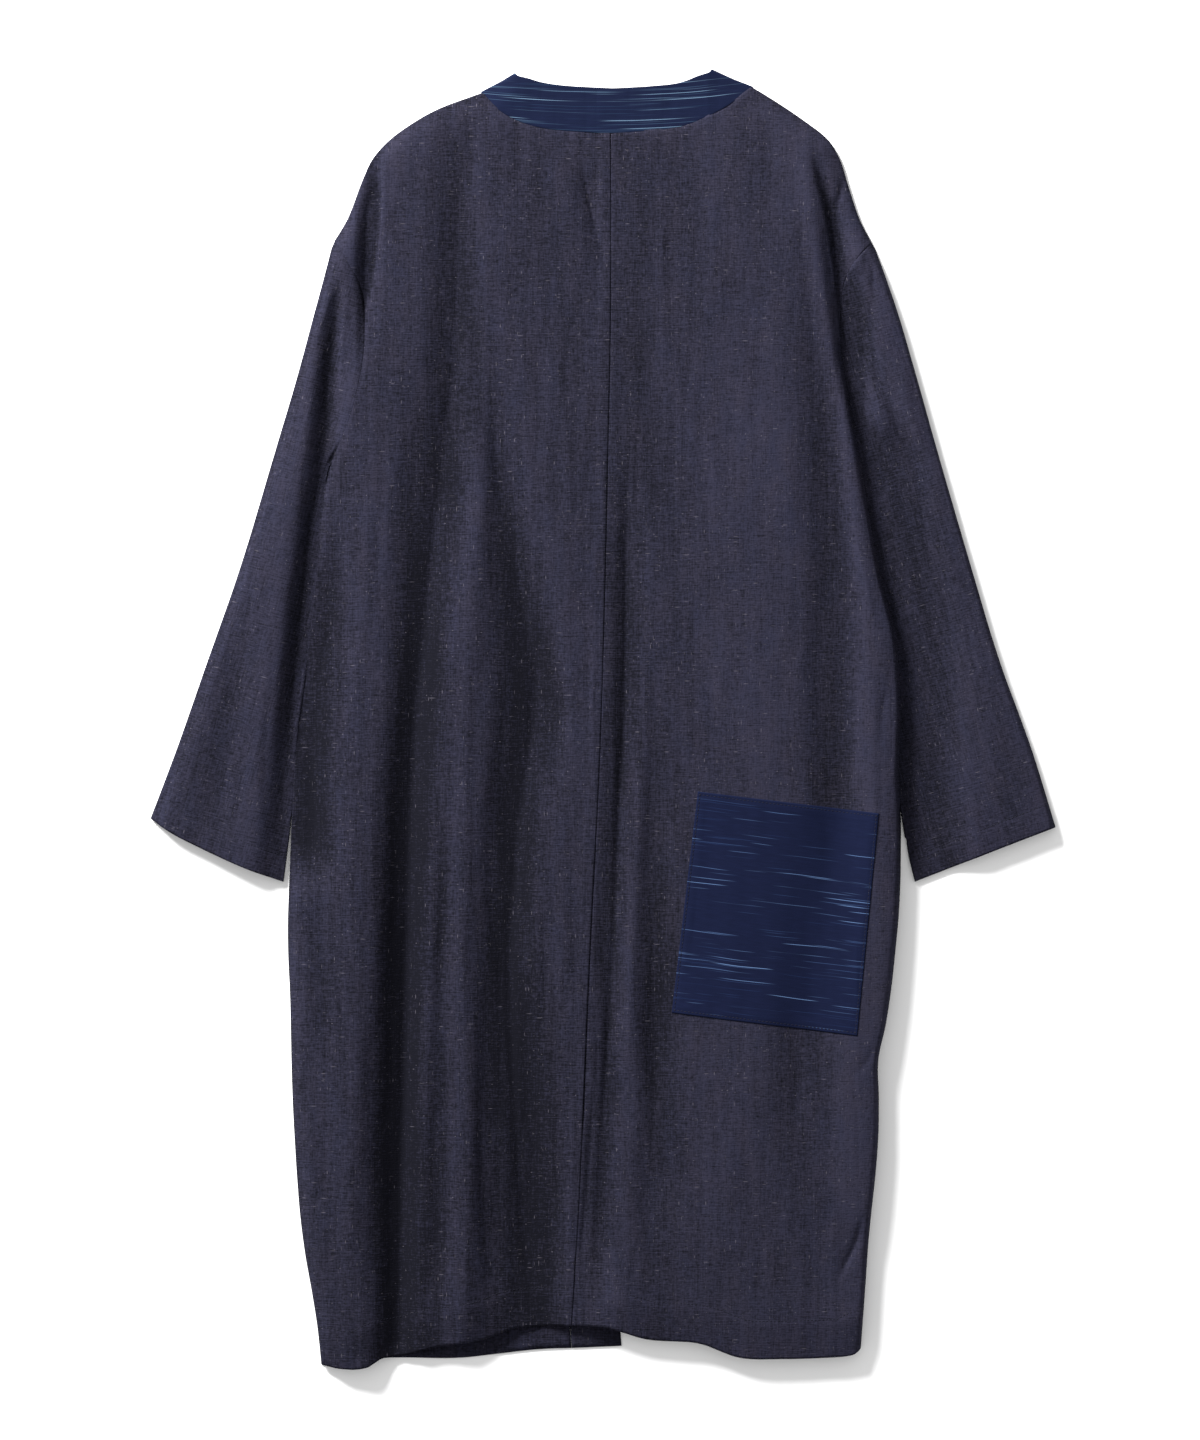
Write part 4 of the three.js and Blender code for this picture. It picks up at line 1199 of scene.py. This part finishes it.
@dataclass
class BackPanel(ClothPiece):
    """One half of the back: shoulder and neck above, armhole and side outside, hem below."""

    outward: int  # -1 for the half at -X and 1 for the other
    tip: Place
    neck: Place
    hem_corner: Place
    underarm: Place
    centre: Place = (7, 537)
    hem_centre: Place = (-29, -558)
    columns: int = 140
    rows: int = 330
    cloth: float = CLOTH
    hem_cloth: float = 1.7
    hem_depth: float = 37.0
    shoulder_share: float = 0.5625  # part of the top edge that is the shoulder: the rest is the neck
    armhole_share: float = 0.23
    under_band: float = 1.8  # how far the neck edge goes under the neck band
    seam_fill: float = 0.13  # how far the halves go over the gap between their solids
    roll: float = 30.0  # how far in the solid is read at a rolled edge: more makes a tighter round
    widest_roll: float = 30.0  # the same where the sleeve lies level with it
    side_joined: bool = False  # whether the sleeve's underarm edge lies against the side
    beside_rise: float = 4.0  # width over which it rises from the sleeve's underarm edge
    beside_height: float = 3.3  # height of that edge
    level_from: float = 330.0  # from here up the sleeve lies level with the panel
    level_over: float = 130.0  # height over which it comes level
    rolled_under: float = 0.0  # up to here the panel's armhole edge is rolled down too
    crease_fade: float = 10.0  # width beside a rolled edge over which creases fade out
    edge_drop: float = 1.1  # how much lower a free edge is, over its last few millimetres
    edge_width: float = 4.0
    hem_thick: float = 0.45
    hem_groove: float = 0.55
    neck_groove: float = 0.7
    groove_width: float = 2.0
    lowest: float = 2.5
    lowest_edge: float = 1.9
    lowest_inside: float = 1.45  # clear of the front's cloth
    size: tuple[float, float] = (285.0, 1150.0)  # usual width and length, for reading the solid

    def build(self) -> None:
        """Make the panel, and keep its face for what is sewn to it."""
        top = ClothTop(self.node)
        corners = (self.tip, self.neck, self.centre, self.hem_centre, self.hem_corner, self.underarm)
        shoulder, neck, seam, hem, side, armhole = top.chains(corners)
        edges = Edges(
            top=joined([shoulder, neck], [self.shoulder_share]),
            bottom=joined([hem[::-1]]),
            outer=joined([armhole[::-1], side[::-1]], [self.armhole_share]),
            inner=joined([seam]),
        )
        across, down = np.meshgrid(gathered(self.columns, 0.45), gathered(self.rows, 0.35))
        flat = edges.grid(across, down)
        flat[:, -1, 0] -= self.outward * self.seam_fill
        flat[0, across[0] >= self.shoulder_share, 1] += self.under_band
        points = flat.reshape(-1, 2)
        north, south = points[:, 1], -points[:, 1]
        gaps = [gap_to(shoulder, points, 60), gap_to(side, points, 60)]
        if self.rolled_under:
            hole = smooth_chain(armhole, np.linspace(0, 1, 80))
            gaps.append(nearest_on(hole[hole[:, 1] < self.rolled_under], points)[0])
        edge_gap = np.min(gaps, axis=0)
        below_cuff = step_up(south, *CUFF_LEVEL)
        if self.side_joined:
            gaps[1] = gaps[1] + JOINED_GAP * step_up(north, *UNDERARM_LEVEL)
        level = step_up(north, self.level_from - self.level_over, self.level_from)
        height = self._solid_heights(top, edges, across, down, level)
        beside = (1 - below_cuff) * (1 - level)
        rise = 1 - beside * (1 - step_up(edge_gap, 0.25 * self.beside_rise, self.beside_rise))
        height = self.beside_height + (height - self.beside_height) * rise
        full = quarter_round(np.min(gaps, axis=0), self.crease_fade)
        height += (creased(points, CREASES) + linen_crumple(points)) * full
        touching = (1 - below_cuff) * self.side_joined
        height -= self.edge_drop * (1 - quarter_round(edge_gap, self.edge_width)) * (1 - touching)
        hem_gap = gap_to(hem, points, 80)
        height += turned_hem(hem_gap, self.hem_depth, self.hem_thick, self.hem_groove)
        height += self._centre_seam(gap_to(seam, points, 80))
        height -= self.neck_groove * bell(gap_to(neck, points, 60), self.groove_width)
        height -= ARMHOLE_GROOVE * bell(gap_to(armhole, points, 60), self.groove_width)
        height = np.maximum(height, self.lowest - (self.lowest - self.lowest_edge) * (1 - full))
        self.face = np.dstack([flat, height.reshape(across.shape)])
        hemmed = 1 - step_up(hem_gap, self.hem_depth - 2, self.hem_depth)
        thick = (self.cloth + (self.hem_cloth - self.cloth) * hemmed).reshape(across.shape)
        under = self.face - upward(grid_normals(self.face)) * thick[..., None]
        under[..., 2] = np.maximum(under[..., 2], self.lowest_inside)
        # painted shade darkens the fold valleys and ridges are paler as rubbed wear; the lower left is also
        # made darker and the right lighter
        wear_and_shade = worn_and_shaded(self.face[..., 2], 20, 14) + tone_by_place(points).reshape(across.shape)
        self.dress(shell(self.name, self.face, under, flat, wear_and_shade=wear_and_shade))

    def _solid_heights(
        self, top: ClothTop, edges: Edges, across: Array, down: Array, level: Array
    ) -> Array:
        """Take the solid's heights, with its rolled edges drawn in to a tighter round.

        Args:
            top: The solid's top face.
            edges: The panel's edges.
            across: Share of each column.
            down: Share of each row.
            level: For each point, how much the sleeve lies level with the panel.

        Returns:
            One height for each point.
        """
        width, length = self.size
        roll = self.roll + (self.widest_roll - self.roll) * level.reshape(across.shape)
        side = step_up(down, self.armhole_share - 0.02, self.armhole_share + 0.03)
        shoulder = 1 - step_up(across, self.shoulder_share - 0.06, self.shoulder_share)
        inward = drawn_in(across * width, roll) / width
        downward = drawn_in(down * length, roll) / length
        at = edges.grid(across + (inward - across) * side, down + (downward - down) * shoulder)
        heights = top.heights(at.reshape(-1, 2)).reshape(across.shape)
        return smoothed(heights, 1.5, 3.0).ravel()

    def _centre_seam(self, gap: Array) -> Array:
        """The centre-back seam: a groove, with the seam's pressed layers under the left half."""
        layers = 0.5 if self.outward < 0 else 0.15
        return layers * (1 - step_up(gap, 8.0, 12.0)) - 0.4 * bell(gap, 1.4)


@dataclass
class Sleeve(ClothPiece):
    """A sleeve: one tube from the armhole to the cuff, flattened, with its underlayer on the floor."""

    tip: Place
    underarm: Place
    cuff_inner: Place
    cuff_outer: Place
    columns: int = 60
    rows: int = 190
    cloth: float = CLOTH
    hem_depth: float = 24.0
    width: float = 150.0  # usual width, for reading the solid
    roll: float = 30.0  # how far in the solid is read at the outer edge
    low_strip: float = 0.0  # width beside the body that stays low, in the shade of its edge
    low_height: float = 3.1
    meeting: float = 28.0  # width over which it comes to the height of the body's edge
    armhole_meeting: float = 26.0
    overlap: float = 0.5
    under_armhole: float = 0.12  # how far its edges lie below the body's where both are sewn
    under_side: float = 0.1
    apart: tuple[float, float] = (60.0, 130.0)  # depths between which it parts from the side
    creases: float = 0.8  # how crumpled it is, next to the body
    crease_fade: float = 9.0
    floor_layer: float = 0.12  # heights of the underlayer's faces
    floor_layer_top: float = 1.0
    fold_height: float = 1.2
    lowest: float = 2.2
    lowest_inside: float = 1.35
    fade: float = 12.0

    def build(self, back: BackPanel) -> None:
        """Make the sleeve and keep its face.

        Args:
            back: The half of the back that it is sewn to.
        """
        top = ClothTop(self.node)
        corners = (self.tip, self.underarm, self.cuff_inner, self.cuff_outer)
        armhole, under_edge, cuff, outer_edge = top.chains(corners)
        edges = Edges(
            top=joined([armhole]),
            bottom=joined([cuff[::-1]]),
            outer=joined([outer_edge[::-1]]),
            inner=joined([under_edge]),
            fade=self.fade,
        )
        across, down = np.meshgrid(gathered(self.columns, 0.6), gathered(self.rows, 0.2))
        flat = edges.grid(across, down)
        # the underarm edge touches the body as far as the cuff, and the armhole edge is sewn to it
        sewn = back.face[:, 0]
        beside = step_up(across, 0.92, 1) * (1 - step_up(down, 0.75, 0.95))
        flat += meeting(sewn, flat[:, -1], self.overlap)[0][:, None] * beside[..., None]
        above = (1 - step_up(down, 0, 0.015)) * (1 - step_up(across, 0.96, 1))
        flat += meeting(sewn, flat[0], self.overlap)[0][None] * above[..., None]
        height = self._heights(top, edges, (armhole, under_edge, cuff, outer_edge), across, down, flat)
        near = 1 - step_up(gap_to(armhole, flat.reshape(-1, 2), 50), 0, self.armhole_meeting)
        lift = meeting(sewn, flat[0], self.overlap)[1] - self.under_armhole - height[0]
        height = height + lift * near.reshape(across.shape)
        near = 1 - step_up(gap_to(under_edge, flat.reshape(-1, 2), 50), 0, self.meeting)
        lift = meeting(sewn, flat[:, -1], self.overlap)[1] - self.under_side - height[:, -1]
        lift *= 1 - step_up(-flat[:, -1, 1], *self.apart)
        height = np.maximum(height + lift[:, None] * near.reshape(across.shape), self.lowest)
        self.face = np.dstack([flat, height])
        ring = self._ring()
        inside = ring - upward(grid_normals(ring, wrap=True), self.columns // 2) * self.cloth
        above_floor = inside[:, : self.columns + 1, 2]
        above_floor[:] = np.maximum(above_floor, self.lowest_inside)
        inside[:, self.columns + 2 : -1, 2] = self.floor_layer_top
        # painted shade darkens the valleys of the upper layer and its ridges are paler as rubbed wear; the
        # underlayer has none
        wear_and_shade = np.zeros(ring.shape[:2])
        wear_and_shade[:, : self.columns + 1] = worn_and_shaded(height, 12, 12)
        self.dress(shell(self.name, ring, inside, self._cloth_map(ring), wrap=True, wear_and_shade=wear_and_shade))

    def _heights(
        self, top: ClothTop, edges: Edges, chains: Sequence[Array], across: Array, down: Array, flat: Array
    ) -> Array:
        """Work out the upper layer's heights before it is sewn to the back.

        Args:
            top: The solid's top face.
            edges: The sleeve's edges.
            chains: Its armhole, underarm edge, cuff and outer edge.
            across: Share of each column.
            down: Share of each row.
            flat: Place of each grid point.

        Returns:
            Rows and columns of heights.
        """
        points = flat.reshape(-1, 2)
        armhole, under_edge, cuff, outer_edge = chains
        source = edges.grid(drawn_in(across * self.width, self.roll) / self.width, down)
        heights = top.heights(source.reshape(-1, 2)).reshape(across.shape)
        height = smoothed(heights, 1.2, 2.5).ravel()
        inner_gap = gap_to(under_edge, points, 50)
        joined_gap = inner_gap + JOINED_GAP * step_up(points[:, 1], *UNDERARM_LEVEL)
        full = quarter_round(np.minimum(gap_to(outer_edge, points, 50), joined_gap), self.crease_fade)
        height += (creased(points, CREASES) + self.creases * linen_crumple(points)) * full
        if self.low_strip:
            strip = step_up(inner_gap, self.low_strip, self.low_strip + 36)
            below = 1 - step_up(points[:, 1], 330, 400)
            height = self.low_height + (height - self.low_height) * (1 - below * (1 - strip))
        height += turned_hem(gap_to(cuff, points, 40), self.hem_depth, 0.4, 0.5)
        height -= ARMHOLE_GROOVE * bell(gap_to(armhole, points, 50), 2.0)
        return np.maximum(height, 2.4).reshape(across.shape)

    def _ring(self) -> Array:
        """The upper layer, a round fold, the underlayer on the floor a little inside, and a fold."""
        upper = self.face
        middle = upper[:, ::-1].copy()
        middle[..., 2] = self.floor_layer
        edge_out = upper[:, :1] + (upper[:, :1] - upper[:, 1:2]) * [0.5, 0.5, 0]
        edge_in = upper[:, -1:] + (upper[:, -1:] - upper[:, -2:-1]) * [0.3, 0.3, 0]
        edge_out[..., 2] = edge_in[..., 2] = self.fold_height
        return np.concatenate([upper, edge_in, middle, edge_out], axis=1)

    def _cloth_map(self, ring: Array) -> Array:
        """Place of each ring point on the flat cloth, with the grain down the sleeve's middle."""
        axis = self.face[-1].mean(0)[:2] - self.face[0].mean(0)[:2]
        axis = axis / np.linalg.norm(axis)
        side = np.array([-axis[1], axis[0]])
        return np.dstack([ring[..., :2] @ side, ring[..., :2] @ axis])


@dataclass
class Front(ClothPiece):
    """A front, or its band: flat on the floor, seen at the hem and from below."""

    corners: tuple[Place, ...]  # a front's fifth corner is its underarm
    columns: int = 40
    rows: int = 160
    armhole_share: float = 0.23
    height: float = 1.3
    lowest: float = 0.1
    hem_depth: float = 36.0

    def build(self) -> None:
        """Make the piece."""
        shoulder, opening, hem, side, *armhole = ClothTop(self.node).chains(self.corners)
        sides = [chain[::-1] for chain in (*armhole, side)]
        edges = Edges(
            top=joined([shoulder]),
            bottom=joined([hem[::-1]]),
            outer=joined(sides, [self.armhole_share] if armhole else []),
            inner=joined([opening]),
        )
        across, down = np.meshgrid(gathered(self.columns, 0.3), gathered(self.rows, 0.3))
        flat = edges.grid(across, down)
        points = flat.reshape(-1, 2)
        height = np.full(len(points), self.height)
        height -= 0.25 * bell(gap_to(hem, points, 40) - self.hem_depth, 1.6)
        height -= 0.35 * bell(nearest_on(opening, points)[0], 1.4)
        face = np.dstack([flat, height.reshape(across.shape)])
        under = face.copy()
        under[..., 2] = self.lowest
        self.dress(shell(self.name, face, under, flat))


@dataclass
class NeckBand(ClothPiece):
    """The kasuri band: across the back neck, over both neck sides and down the fronts."""

    sharp_edge: float = 50.0  # degrees between faces along the band's own edges
    crease: float = 0.97
    levels: int = 3  # times that it is subdivided
    end_overlap: float = 2.6  # how far its ends go over the shoulder seams
    middle: float = 13.2  # middle of the back neck
    turn: Place = (110, 590)  # where it folds over to the fronts

    def build(self) -> None:
        """Round the frame's band and lay soft creases in it."""
        fine = self._rounded()
        points = np.zeros(len(fine.vertices) * 3)
        fine.vertices.foreach_get("co", points)
        points = points.reshape(-1, 3) / MM
        lying = step_up(points[:, 1], 535, 545)
        lift = creased(points[:, :2], BAND_CREASES) + 0.5 * linen_crumple(points[:, :2])
        points[:, 2] = np.maximum(points[:, 2] + lift * lying, 0.05)
        aside = points[:, 0] - self.middle
        reach = step_up(np.abs(aside), 104, 123) * step_up(points[:, 1], 556, 566)
        points[:, 0] += self.end_overlap * np.sign(aside) * reach
        fine.vertices.foreach_set("co", (points * MM).ravel())
        map_cloth(fine, self._flat(points) * MM)
        fine.shade_smooth()
        self.dress(placed(self.name, fine))

    def _rounded(self) -> bpy.types.Mesh:
        """A subdivided copy of the frame's band that keeps its edges sharp.

        Returns:
            The new mesh.
        """
        shape = bmesh.new()
        shape.from_mesh(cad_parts[self.node].data)
        bmesh.ops.remove_doubles(shape, verts=shape.verts[:], dist=WELD)
        angles = {"angle_face_threshold": math.radians(35), "angle_shape_threshold": math.radians(60)}
        bmesh.ops.join_triangles(shape, faces=shape.faces[:], **angles)
        layer = shape.edges.layers.float.new("crease_edge")
        for edge in shape.edges:
            if len(edge.link_faces) == 2 and edge.calc_face_angle() > math.radians(self.sharp_edge):
                edge[layer] = self.crease
        mesh = bpy.data.meshes.new(self.name)
        shape.to_mesh(mesh)
        shape.free()
        rough = placed(f"{self.name}_rough", mesh)
        rounding = rough.modifiers.new("round", "SUBSURF")
        rounding.levels = rounding.render_levels = self.levels
        return baked(rough, self.name)

    def _flat(self, points: Array) -> Array:
        """Place on the flat band: along it across the neck, and then down each front."""
        aside, low = self.turn
        down = np.where(points[:, 2] < 3.5, np.maximum(0, low - points[:, 1]), 0)
        along = np.where(down > 0, np.sign(points[:, 0]) * (aside + down), points[:, 0])
        across = np.where(down > 0, np.abs(points[:, 0]), points[:, 1])
        return np.column_stack([along, across])


@dataclass
class PatchPocket(ClothPiece):
    """The kasuri patch pocket: edges turned under and stitched down on the right half of the back."""

    corners: tuple[Place, ...] = ((87, -67), (253, -87), (233, -291), (63, -270))
    columns: int = 72
    rows: int = 86
    cloth: float = 0.7
    gap: float = 0.1
    turned: float = 9.0  # width of the edge that is turned under
    stitched: float = 2.6  # distance of the stitches from the edge

    def build(self, ground: BVHTree) -> None:
        """Lay the patch over the back and keep its face.

        Args:
            ground: The finished right half of the back.
        """
        top_left, top_right, low_right, low_left = (np.array(c, float) for c in self.corners)
        across, down = np.meshgrid(gathered(self.columns, 0.6), gathered(self.rows, 0.6))
        u, v = across[..., None], down[..., None]
        flat = (top_left * (1 - u) + top_right * u) * (1 - v) + (low_left * (1 - u) + low_right * u) * v
        points = flat.reshape(-1, 2)
        width = np.linalg.norm(top_right - top_left)
        length = np.linalg.norm(low_left - top_left)
        aside, inward = np.minimum(across, 1 - across) * width, np.minimum(down, 1 - down) * length
        inset = np.minimum(aside, inward).ravel()
        rest = heights_over(ground, points, 8)
        height = rest + self.gap + self.cloth
        height += 0.12 * (1 - step_up(inset, self.turned - 2, self.turned + 2))
        height -= 0.25 * bell(inset - self.stitched, 1.1)
        height -= 0.4 * (1 - quarter_round(inset, 1.6))
        height += 0.25 * crumple(points, 24, 60, 71) * step_up(inset, 4, 16)
        self.face = np.dstack([flat, height.reshape(across.shape)])
        under = self.face.copy()
        under[..., 2] = (rest + self.gap).reshape(across.shape)
        weave = np.dstack([across * width, -down * length])
        self.dress(shell(self.name, self.face, under, weave))

    def outline(self) -> list[Array]:
        """Lines for the stitches round three sides and across the open edge.

        Returns:
            One row of places for each side.
        """
        corners = np.array(self.corners, float)
        inward = corners.mean(0) - corners
        inward /= np.linalg.norm(inward, axis=1, keepdims=True)
        inner = corners + inward * self.stitched * 1.4
        return [np.linspace(p, q, 60) for p, q in zip(inner, np.roll(inner, -1, 0))]


@dataclass
class Stitching:
    """Lock stitches in rows along seams and hems, made by one node tree."""

    thread: bpy.types.Material
    pitch: float = 3.4
    length: float = 2.5
    thickness: float = 0.5  # real thread is 0.3 mm; drawn thicker so that it shows
    seed: int = 7
    name: str = "stitches"

    def tree(self) -> bpy.types.NodeTree:
        """Make the tree: a small round-ended bar on every step of each line.

        Returns:
            The node tree, with its sizes as named inputs.
        """
        tree = bpy.data.node_groups.new("stitch_rows", "GeometryNodeTree")
        sockets = (
            ("Geometry", "Geometry"), ("Pitch", "Float"), ("Length", "Float"),
            ("Thickness", "Float"), ("Seed", "Int"), ("Thread", "Material"),
        )
        for name, kind in sockets:
            tree.interface.new_socket(name=name, in_out="INPUT", socket_type=f"NodeSocket{kind}")
        tree.interface.new_socket(
            name="Geometry", in_out="OUTPUT", socket_type="NodeSocketGeometry"
        )
        given = add(tree, "NodeGroupInput").node.outputs
        line = add(tree, "GeometryNodeMeshToCurve", {"Mesh": given["Geometry"]})
        steps = {"Curve": line, "Length": given["Pitch"]}
        steps = add(tree, "GeometryNodeCurveToPoints", steps, mode="LENGTH").node.outputs
        bar = add(tree, "GeometryNodeMeshUVSphere", {"Segments": 6, "Rings": 5, "Radius": 0.5})
        size = (given["Thickness"], given["Thickness"], given["Length"])
        size = add(tree, "ShaderNodeCombineXYZ", size)
        bar = add(tree, "GeometryNodeTransform", {"Geometry": bar, "Scale": size})
        vary = {2: 0.88, 3: 1.08, "Seed": given["Seed"]}
        vary = add(tree, "FunctionNodeRandomValue", vary, 1, data_type="FLOAT")
        bars = {
            "Points": steps["Points"],
            "Instance": bar,
            "Rotation": steps["Rotation"],
            "Scale": vary,
        }
        bars = add(tree, "GeometryNodeInstanceOnPoints", bars)
        real = add(tree, "GeometryNodeRealizeInstances", (bars,))
        dyed = {"Geometry": real, "Material": given["Thread"]}
        add(tree, "NodeGroupOutput", (add(tree, "GeometryNodeSetMaterial", dyed),))
        return tree

    def build(self, lines: Sequence[Array]) -> None:
        """Sew along lines of points.

        Args:
            lines: Rows of x, y and z in millimetres for each line.
        """
        mesh = bpy.data.meshes.new(f"{self.name}_lines")
        verts, links = [], []
        for line in lines:
            first = len(verts)
            verts.extend((line * MM).tolist())
            links.extend((first + k, first + k + 1) for k in range(len(line) - 1))
        mesh.from_pydata(verts, links, [])
        guide = placed(f"{self.name}_lines", mesh)
        modifier = guide.modifiers.new("sew", "NODES")
        modifier.node_group = self.tree()
        values = {
            "Pitch": self.pitch * MM,
            "Length": self.length * MM,
            "Thickness": self.thickness * MM,
            "Seed": self.seed,
            "Thread": self.thread,
        }
        for item in modifier.node_group.interface.items_tree:
            if item.in_out == "INPUT" and item.name in values:
                modifier[item.identifier] = values[item.name]
        sewn = baked(guide, self.name)
        if not sewn.materials:
            sewn.materials.append(self.thread)
        sewn.shade_smooth()
        piece = placed(self.name, sewn)
        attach(piece, BODY)
        LOG.info("%s: %d faces", piece.name, len(sewn.polygons))


def hem_line(piece: BackPanel | Sleeve, lift: float) -> Array:
    """Find where a hem or a cuff is sewn.

    Args:
        piece: The finished back panel or sleeve.
        lift: Height of the stitches' middle over the face.

    Returns:
        A row of points on the face, in millimetres.
    """
    face, depth = piece.face, piece.hem_depth - STITCH_INSET
    line = []
    for i in range(0, face.shape[1], 2):
        gap = nearest_on(face[-1, :, :2], face[:, i, :2])[0]
        j = int(np.argmax(gap < depth))
        share = (gap[j - 1] - depth) / max(gap[j - 1] - gap[j], 1e-6)
        line.append(face[j - 1, i] * (1 - share) + face[j, i] * share + [0, 0, lift])
    return np.array(line[1:-1])


@dataclass
class Studio:
    """A pale floor, one large soft lamp from the upper left, and a camera straight above."""

    view_height: float = 1.3248  # metres of floor down the picture
    middle: tuple[float, float] = (-0.00276, -0.00138)
    distance: float = 6.0
    sensor: float = 36.0
    floor_half: float = 4.0
    floor_drop: float = 0.0002
    key_azimuth: float = 128.0  # degrees from +X towards +Y
    key_elevation: float = 25.0
    key_distance: float = 4.6
    key_size: float = 1.7
    key_power: float = 930.0
    sky: float = 0.76

    def camera(self) -> None:
        """Hang the camera over the coat."""
        data = bpy.data.cameras.new("camera")
        data.lens, data.sensor_width = self.sensor * self.distance / self.view_height, self.sensor
        data.clip_end = 50
        camera = placed("camera", data)
        camera.location = (*self.middle, self.distance)
        bpy.context.scene.camera = camera

    def floor(self, material: bpy.types.Material) -> None:
        """Lay a plain floor under the coat.

        Args:
            material: The floor's finish.
        """
        half = self.floor_half
        corners = ((-half, -half), (half, -half), (half, half), (-half, half))
        mesh = bpy.data.meshes.new("floor")
        mesh.from_pydata([(x, y, -self.floor_drop) for x, y in corners], [], [(0, 1, 2, 3)])
        mesh.materials.append(material)
        placed("floor", mesh)

    def lights(self) -> None:
        """Light the coat softly from the upper left, and evenly from all round."""
        scene = bpy.context.scene
        scene.view_settings.view_transform = "Standard"
        scene.view_settings.look = "None"
        world = bpy.data.worlds.new("studio")
        world.use_nodes = True
        background = world.node_tree.nodes["Background"]
        background.inputs["Color"].default_value = (1, 1, 1, 1)
        background.inputs["Strength"].default_value = self.sky
        scene.world = world
        turn, rise = math.radians(self.key_azimuth), math.radians(self.key_elevation)
        flat = math.cos(rise)
        away = Vector((math.cos(turn) * flat, math.sin(turn) * flat, math.sin(rise)))
        data = bpy.data.lights.new("key", "AREA")
        data.shape, data.size, data.energy = "DISK", self.key_size, self.key_power
        lamp = placed("key", data)
        lamp.location = away * self.key_distance
        lamp.rotation_euler = away.to_track_quat("Z", "Y").to_euler()


def build_coat(finishes: Finishes) -> None:
    """Build the coat piece by piece, from the floor up.

    Args:
        finishes: The coat's materials.
    """
    denim = ("denim", finishes.denim)
    on_floor = ("floor",)
    band_cut = ((0.046, 1.10), 0.046, on_floor)
    left_hem, right_hem = {"hem_corner": (-259, -594)}, {"hem_corner": (237, -579)}
    left_arm = {"tip": (-247, 439), "underarm": (-253, 229)}
    right_arm = {"tip": (247, 438), "underarm": (240, 218)}
    fronts = (
        Front(
            "front_left", *denim, (0.275, 1.20), 0.22, on_floor,
            ((-247, 439), (-112, 575), (-29, -579), (-259, -594), (-253, 229)),
        ),
        Front(
            "front_right", *denim, (0.20, 1.19), 0.16, on_floor,
            ((247, 438), (138, 580), (89, -577), (237, -579), (240, 218)),
        ),
        Front(
            "front_band_left", *denim, *band_cut,
            ((-107.7, 519.7), (-76, 519.7), (17, -577), (-28.7, -579)), columns=10,
        ),
        Front(
            "front_band_right", *denim, *band_cut,
            ((135.1, 519.7), (97, 519.7), (43, -577), (88.7, -577)), columns=10,
        ),
    )
    backs = (
        BackPanel(
            "back_left", *denim, (0.31, 1.19), 0.295, ("front_left_cloth",), outward=-1,
            neck=(-112, 575), roll=6.0, side_joined=True, beside_rise=50.0, level_from=200.0,
            **left_arm, **left_hem,
        ),
        BackPanel(
            "back_right", *denim, (0.31, 1.19), 0.29, ("front_right_cloth",), outward=1,
            neck=(138, 580), level_from=460.0, rolled_under=345.0, **right_arm, **right_hem,
        ),
    )
    for piece in (*fronts, *backs):
        piece.build()

    sleeves = (
        Sleeve(
            "sleeve_left", *denim, (0.26, 0.60), 0.09, on_floor, cuff_inner=(-294, -150),
            cuff_outer=(-415.8, -92), roll=4.0, **left_arm,
        ),
        Sleeve(
            "sleeve_right", *denim, (0.26, 0.60), 0.09, on_floor, cuff_inner=(287, -150),
            cuff_outer=(415.8, -100), low_strip=30.0, meeting=8.0, **right_arm,
        ),
    )
    for sleeve, back in zip(sleeves, backs):
        sleeve.build(back)

    neck_ground = ("back_left_cloth", "back_right_cloth")
    NeckBand("collar", "kasuri_band", finishes.band, (0.05, 0.40), 0.014, neck_ground).build()
    patch = PatchPocket(
        "pocket_patch", "kasuri_patch", finishes.patch, (0.17, 0.21), 0.035, ("back_right_cloth",)
    )
    patch.build(face_tree(backs[1].face))

    lift = 0.1
    lines = [hem_line(piece, lift) for piece in (*backs, *sleeves)]
    ground = face_tree(patch.face)
    for line in patch.outline():
        lines.append(np.column_stack([line, heights_over(ground, line, 8) + lift]))
    Stitching(finishes.thread).build(lines)


def main() -> None:
    """Build the coat, then the studio."""
    logging.basicConfig(level=logging.INFO, format="%(name)s %(message)s")
    bpy.context.view_layer.update()
    build_coat(Finishes())

    studio = Studio()
    studio.floor(StudioFloor().build())
    studio.lights()
    studio.camera()

    bpy.context.view_layer.update()


if __name__ == "__main__":
    main()
